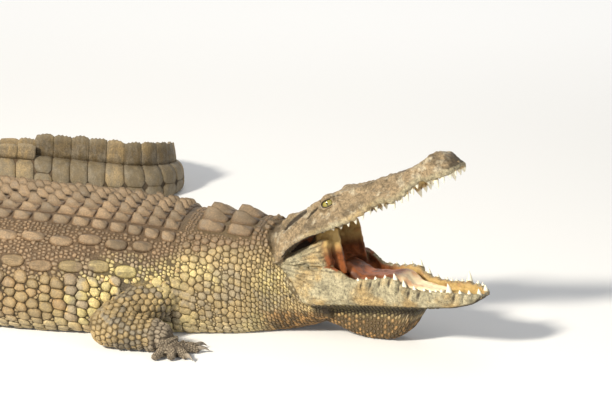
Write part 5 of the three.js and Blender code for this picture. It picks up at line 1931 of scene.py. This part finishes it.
# From the near end of the jaw joint to the middle of the view, to the right and up.
FRAMING = (0.0779, 0.1558)
JOINT_SIDE = 0.134


def view_axes():
    """Directions from the view's middle to the camera, to its right and upward."""
    a, e = VIEW_AZIMUTH, VIEW_ELEVATION
    back = np.array([sin(a) * cos(e), -cos(a) * cos(e), sin(e)])
    right = np.array([cos(a), sin(a), 0])
    return back, right, np.cross(back, right)


def area_light(name, place, aim, width, power, tint):
    """A soft square lamp at a place, turned to an aim."""
    data = bpy.data.lights.new(name, "AREA")
    data.shape, data.size, data.energy, data.color = "SQUARE", width, power, tint
    lamp = bpy.data.objects.new(name, data)
    bpy.context.scene.collection.objects.link(lamp)
    lamp.location = place
    lamp.rotation_euler = (Vector(aim) - Vector(place)).to_track_quat("-Z", "Y").to_euler()


def build_stage():
    """The floor, the lamps, the sky and the camera."""
    scene, side = bpy.context.scene, 30.0
    floor = new_object("floor", [(-side, -side, 0), (side, -side, 0), (side, side, 0),
                                 (-side, side, 0)], [(0, 1, 2, 3)])
    floor.location.z = -0.0005
    floor.data.materials.append(ground_material())
    back, right, up = view_axes()
    target = JOINT + np.array([0, -JOINT_SIDE, 0]) + right * FRAMING[0] + up * FRAMING[1]
    camera = bpy.data.objects.new("camera", bpy.data.cameras.new("camera"))
    scene.collection.objects.link(camera)
    camera.data.lens, camera.data.sensor_width, camera.data.clip_end = LENS, SENSOR, 100
    camera.location = target + back * VIEW_DISTANCE
    camera.rotation_euler = Vector(back).to_track_quat("Z", "Y").to_euler()
    scene.camera = camera
    level = np.array([sin(VIEW_AZIMUTH), -cos(VIEW_AZIMUTH), 0])
    # Each lamp: towards the camera, to its right, up, width, power and tint.
    for name, near, aside, high, *lamp in (
            ("key_light", 5.2, -4.6, 4.4, 1.0, 1060, (1.0, 0.94, 0.82)),
            ("fill_light", 3.5, 3.0, 2.0, 3.5, 45, (0.92, 0.96, 1.0)),
            ("back_light", -3.2, 0.6, 3.0, 3.0, 45, (1.0, 1.0, 1.0))):
        place = level * near + right * aside + np.array([0, 0, high])
        area_light(name, place, (0.1, -0.1, 0.1), *lamp)
    world = scene.world = bpy.data.worlds.new("sky")
    world.use_nodes = True
    nodes, links = world.node_tree.nodes, world.node_tree.links
    sky, white = nodes["Background"], nodes.new("ShaderNodeBackground")
    sky.inputs["Color"].default_value = (0.93, 0.96, 1.0, 1)
    sky.inputs["Strength"].default_value = 0.28
    white.inputs["Strength"].default_value = 0.92
    mix = nodes.new("ShaderNodeMixShader")
    for socket, value in zip(mix.inputs, (background_rays(nodes, links), sky.outputs[0],
                                          white.outputs[0])):
        links.new(value, socket)
    links.new(mix.outputs[0], nodes["World Output"].inputs["Surface"])
    scene.view_settings.view_transform = "Standard"


# ---- operators and panel


GROUND_OF = {}


def skin_ground():
    """The built skin, ready for scales to be laid on."""
    skin = bpy.data.objects.get("skin")
    if skin is None:
        raise RuntimeError("build the skin first")
    if GROUND_OF.get("skin") is not skin:
        GROUND_OF.update(skin=skin, ground=Ground(skin))
    return GROUND_OF["ground"]


class Undoable:
    """What every step of the panel has in common."""
    bl_options = {"REGISTER", "UNDO"}


class BuildSkin(Undoable, bpy.types.Operator):
    """Lay one skin inside the solids of the body"""
    bl_idname = "crocodile.skin"
    bl_label = "Skin"

    def execute(self, context):
        build_skin()
        return {"FINISHED"}


class BuildScutes(Undoable, bpy.types.Operator):
    """Lay the keeled plates on nape, back and sides"""
    bl_idname = "crocodile.scutes"
    bl_label = "Back scutes"

    def execute(self, context):
        build_scutes(skin_ground())
        return {"FINISHED"}


class BuildFlanks(Undoable, bpy.types.Operator):
    """Lay the domed scales and granules of the flanks"""
    bl_idname = "crocodile.flanks"
    bl_label = "Flank scales"

    def execute(self, context):
        build_flanks(skin_ground())
        return {"FINISHED"}


class BuildBelly(Undoable, bpy.types.Operator):
    """Lay the smooth scales of the belly"""
    bl_idname = "crocodile.belly"
    bl_label = "Belly scales"

    def execute(self, context):
        build_belly(skin_ground())
        return {"FINISHED"}


class BuildNeck(Undoable, bpy.types.Operator):
    """Lay the domes, beads and small scales of the neck"""
    bl_idname = "crocodile.neck"
    bl_label = "Neck scales"

    def execute(self, context):
        build_neck(skin_ground())
        return {"FINISHED"}


class BuildTail(Undoable, bpy.types.Operator):
    """Lay the rings of plates on the tail"""
    bl_idname = "crocodile.tail"
    bl_label = "Tail rings"

    def execute(self, context):
        build_tail(skin_ground())
        return {"FINISHED"}


class BuildCrest(Undoable, bpy.types.Operator):
    """Set the blades on top of the tail"""
    bl_idname = "crocodile.crest"
    bl_label = "Tail crest"

    def execute(self, context):
        build_crest()
        return {"FINISHED"}


class BuildLegs(Undoable, bpy.types.Operator):
    """Lay the scales of all four legs"""
    bl_idname = "crocodile.legs"
    bl_label = "Leg scales"

    def execute(self, context):
        build_legs(skin_ground())
        return {"FINISHED"}


class BuildThroat(Undoable, bpy.types.Operator):
    """Lay the fine scales under the lower jaw"""
    bl_idname = "crocodile.throat"
    bl_label = "Throat scales"

    def execute(self, context):
        build_throat(skin_ground())
        return {"FINISHED"}


class BuildLids(Undoable, bpy.types.Operator):
    """Roll the eyelids round the eyes"""
    bl_idname = "crocodile.lids"
    bl_label = "Eyelids"

    def execute(self, context):
        build_lids()
        return {"FINISHED"}


class BuildEyes(Undoable, bpy.types.Operator):
    """Set both eyeballs in their sockets"""
    bl_idname = "crocodile.eyes"
    bl_label = "Eyes"

    def execute(self, context):
        build_eyes()
        return {"FINISHED"}


class BuildTeeth(Undoable, bpy.types.Operator):
    """Set the rows of teeth in both jaws"""
    bl_idname = "crocodile.teeth"
    bl_label = "Teeth"

    def execute(self, context):
        build_teeth()
        return {"FINISHED"}


class BuildTongue(Undoable, bpy.types.Operator):
    """Lay the tongue in the lower jaw"""
    bl_idname = "crocodile.tongue"
    bl_label = "Tongue"

    def execute(self, context):
        build_tongue()
        return {"FINISHED"}


class BuildClaws(Undoable, bpy.types.Operator):
    """Set the claws"""
    bl_idname = "crocodile.claws"
    bl_label = "Claws"

    def execute(self, context):
        build_claws()
        return {"FINISHED"}


class BuildStage(Undoable, bpy.types.Operator):
    """Set up floor, lamps and camera"""
    bl_idname = "crocodile.stage"
    bl_label = "Stage"

    def execute(self, context):
        build_stage()
        return {"FINISHED"}


STEPS = [BuildSkin, BuildScutes, BuildFlanks, BuildBelly, BuildNeck, BuildTail, BuildCrest,
         BuildLegs, BuildThroat, BuildLids, BuildEyes, BuildTeeth, BuildTongue, BuildClaws,
         BuildStage]


class CrocodilePanel(bpy.types.Panel):
    """Sizes, colours and steps of the crocodile"""
    bl_idname = "VIEW3D_PT_crocodile"
    bl_label = "Nile Crocodile"
    bl_space_type = "VIEW_3D"
    bl_region_type = "UI"
    bl_category = "Crocodile"

    def draw(self, context):
        for group in (context.scene.crocodile_sizes, context.scene.crocodile_colours):
            column = self.layout.column(align=True)
            for key in group.__annotations__:
                column.prop(group, key)
        for step in STEPS:
            self.layout.operator(step.bl_idname)


CLASSES = [CrocodileSizes, CrocodileColours, *STEPS, CrocodilePanel]


def register():
    for cls in CLASSES:
        bpy.utils.register_class(cls)
    bpy.types.Scene.crocodile_sizes = PointerProperty(type=CrocodileSizes)
    bpy.types.Scene.crocodile_colours = PointerProperty(type=CrocodileColours)


def unregister():
    del bpy.types.Scene.crocodile_colours
    del bpy.types.Scene.crocodile_sizes
    for cls in reversed(CLASSES):
        bpy.utils.unregister_class(cls)


def main():
    register()
    for step in STEPS:
        getattr(bpy.ops.crocodile, step.bl_idname.split(".")[1])()


if __name__ == "__main__":
    main()
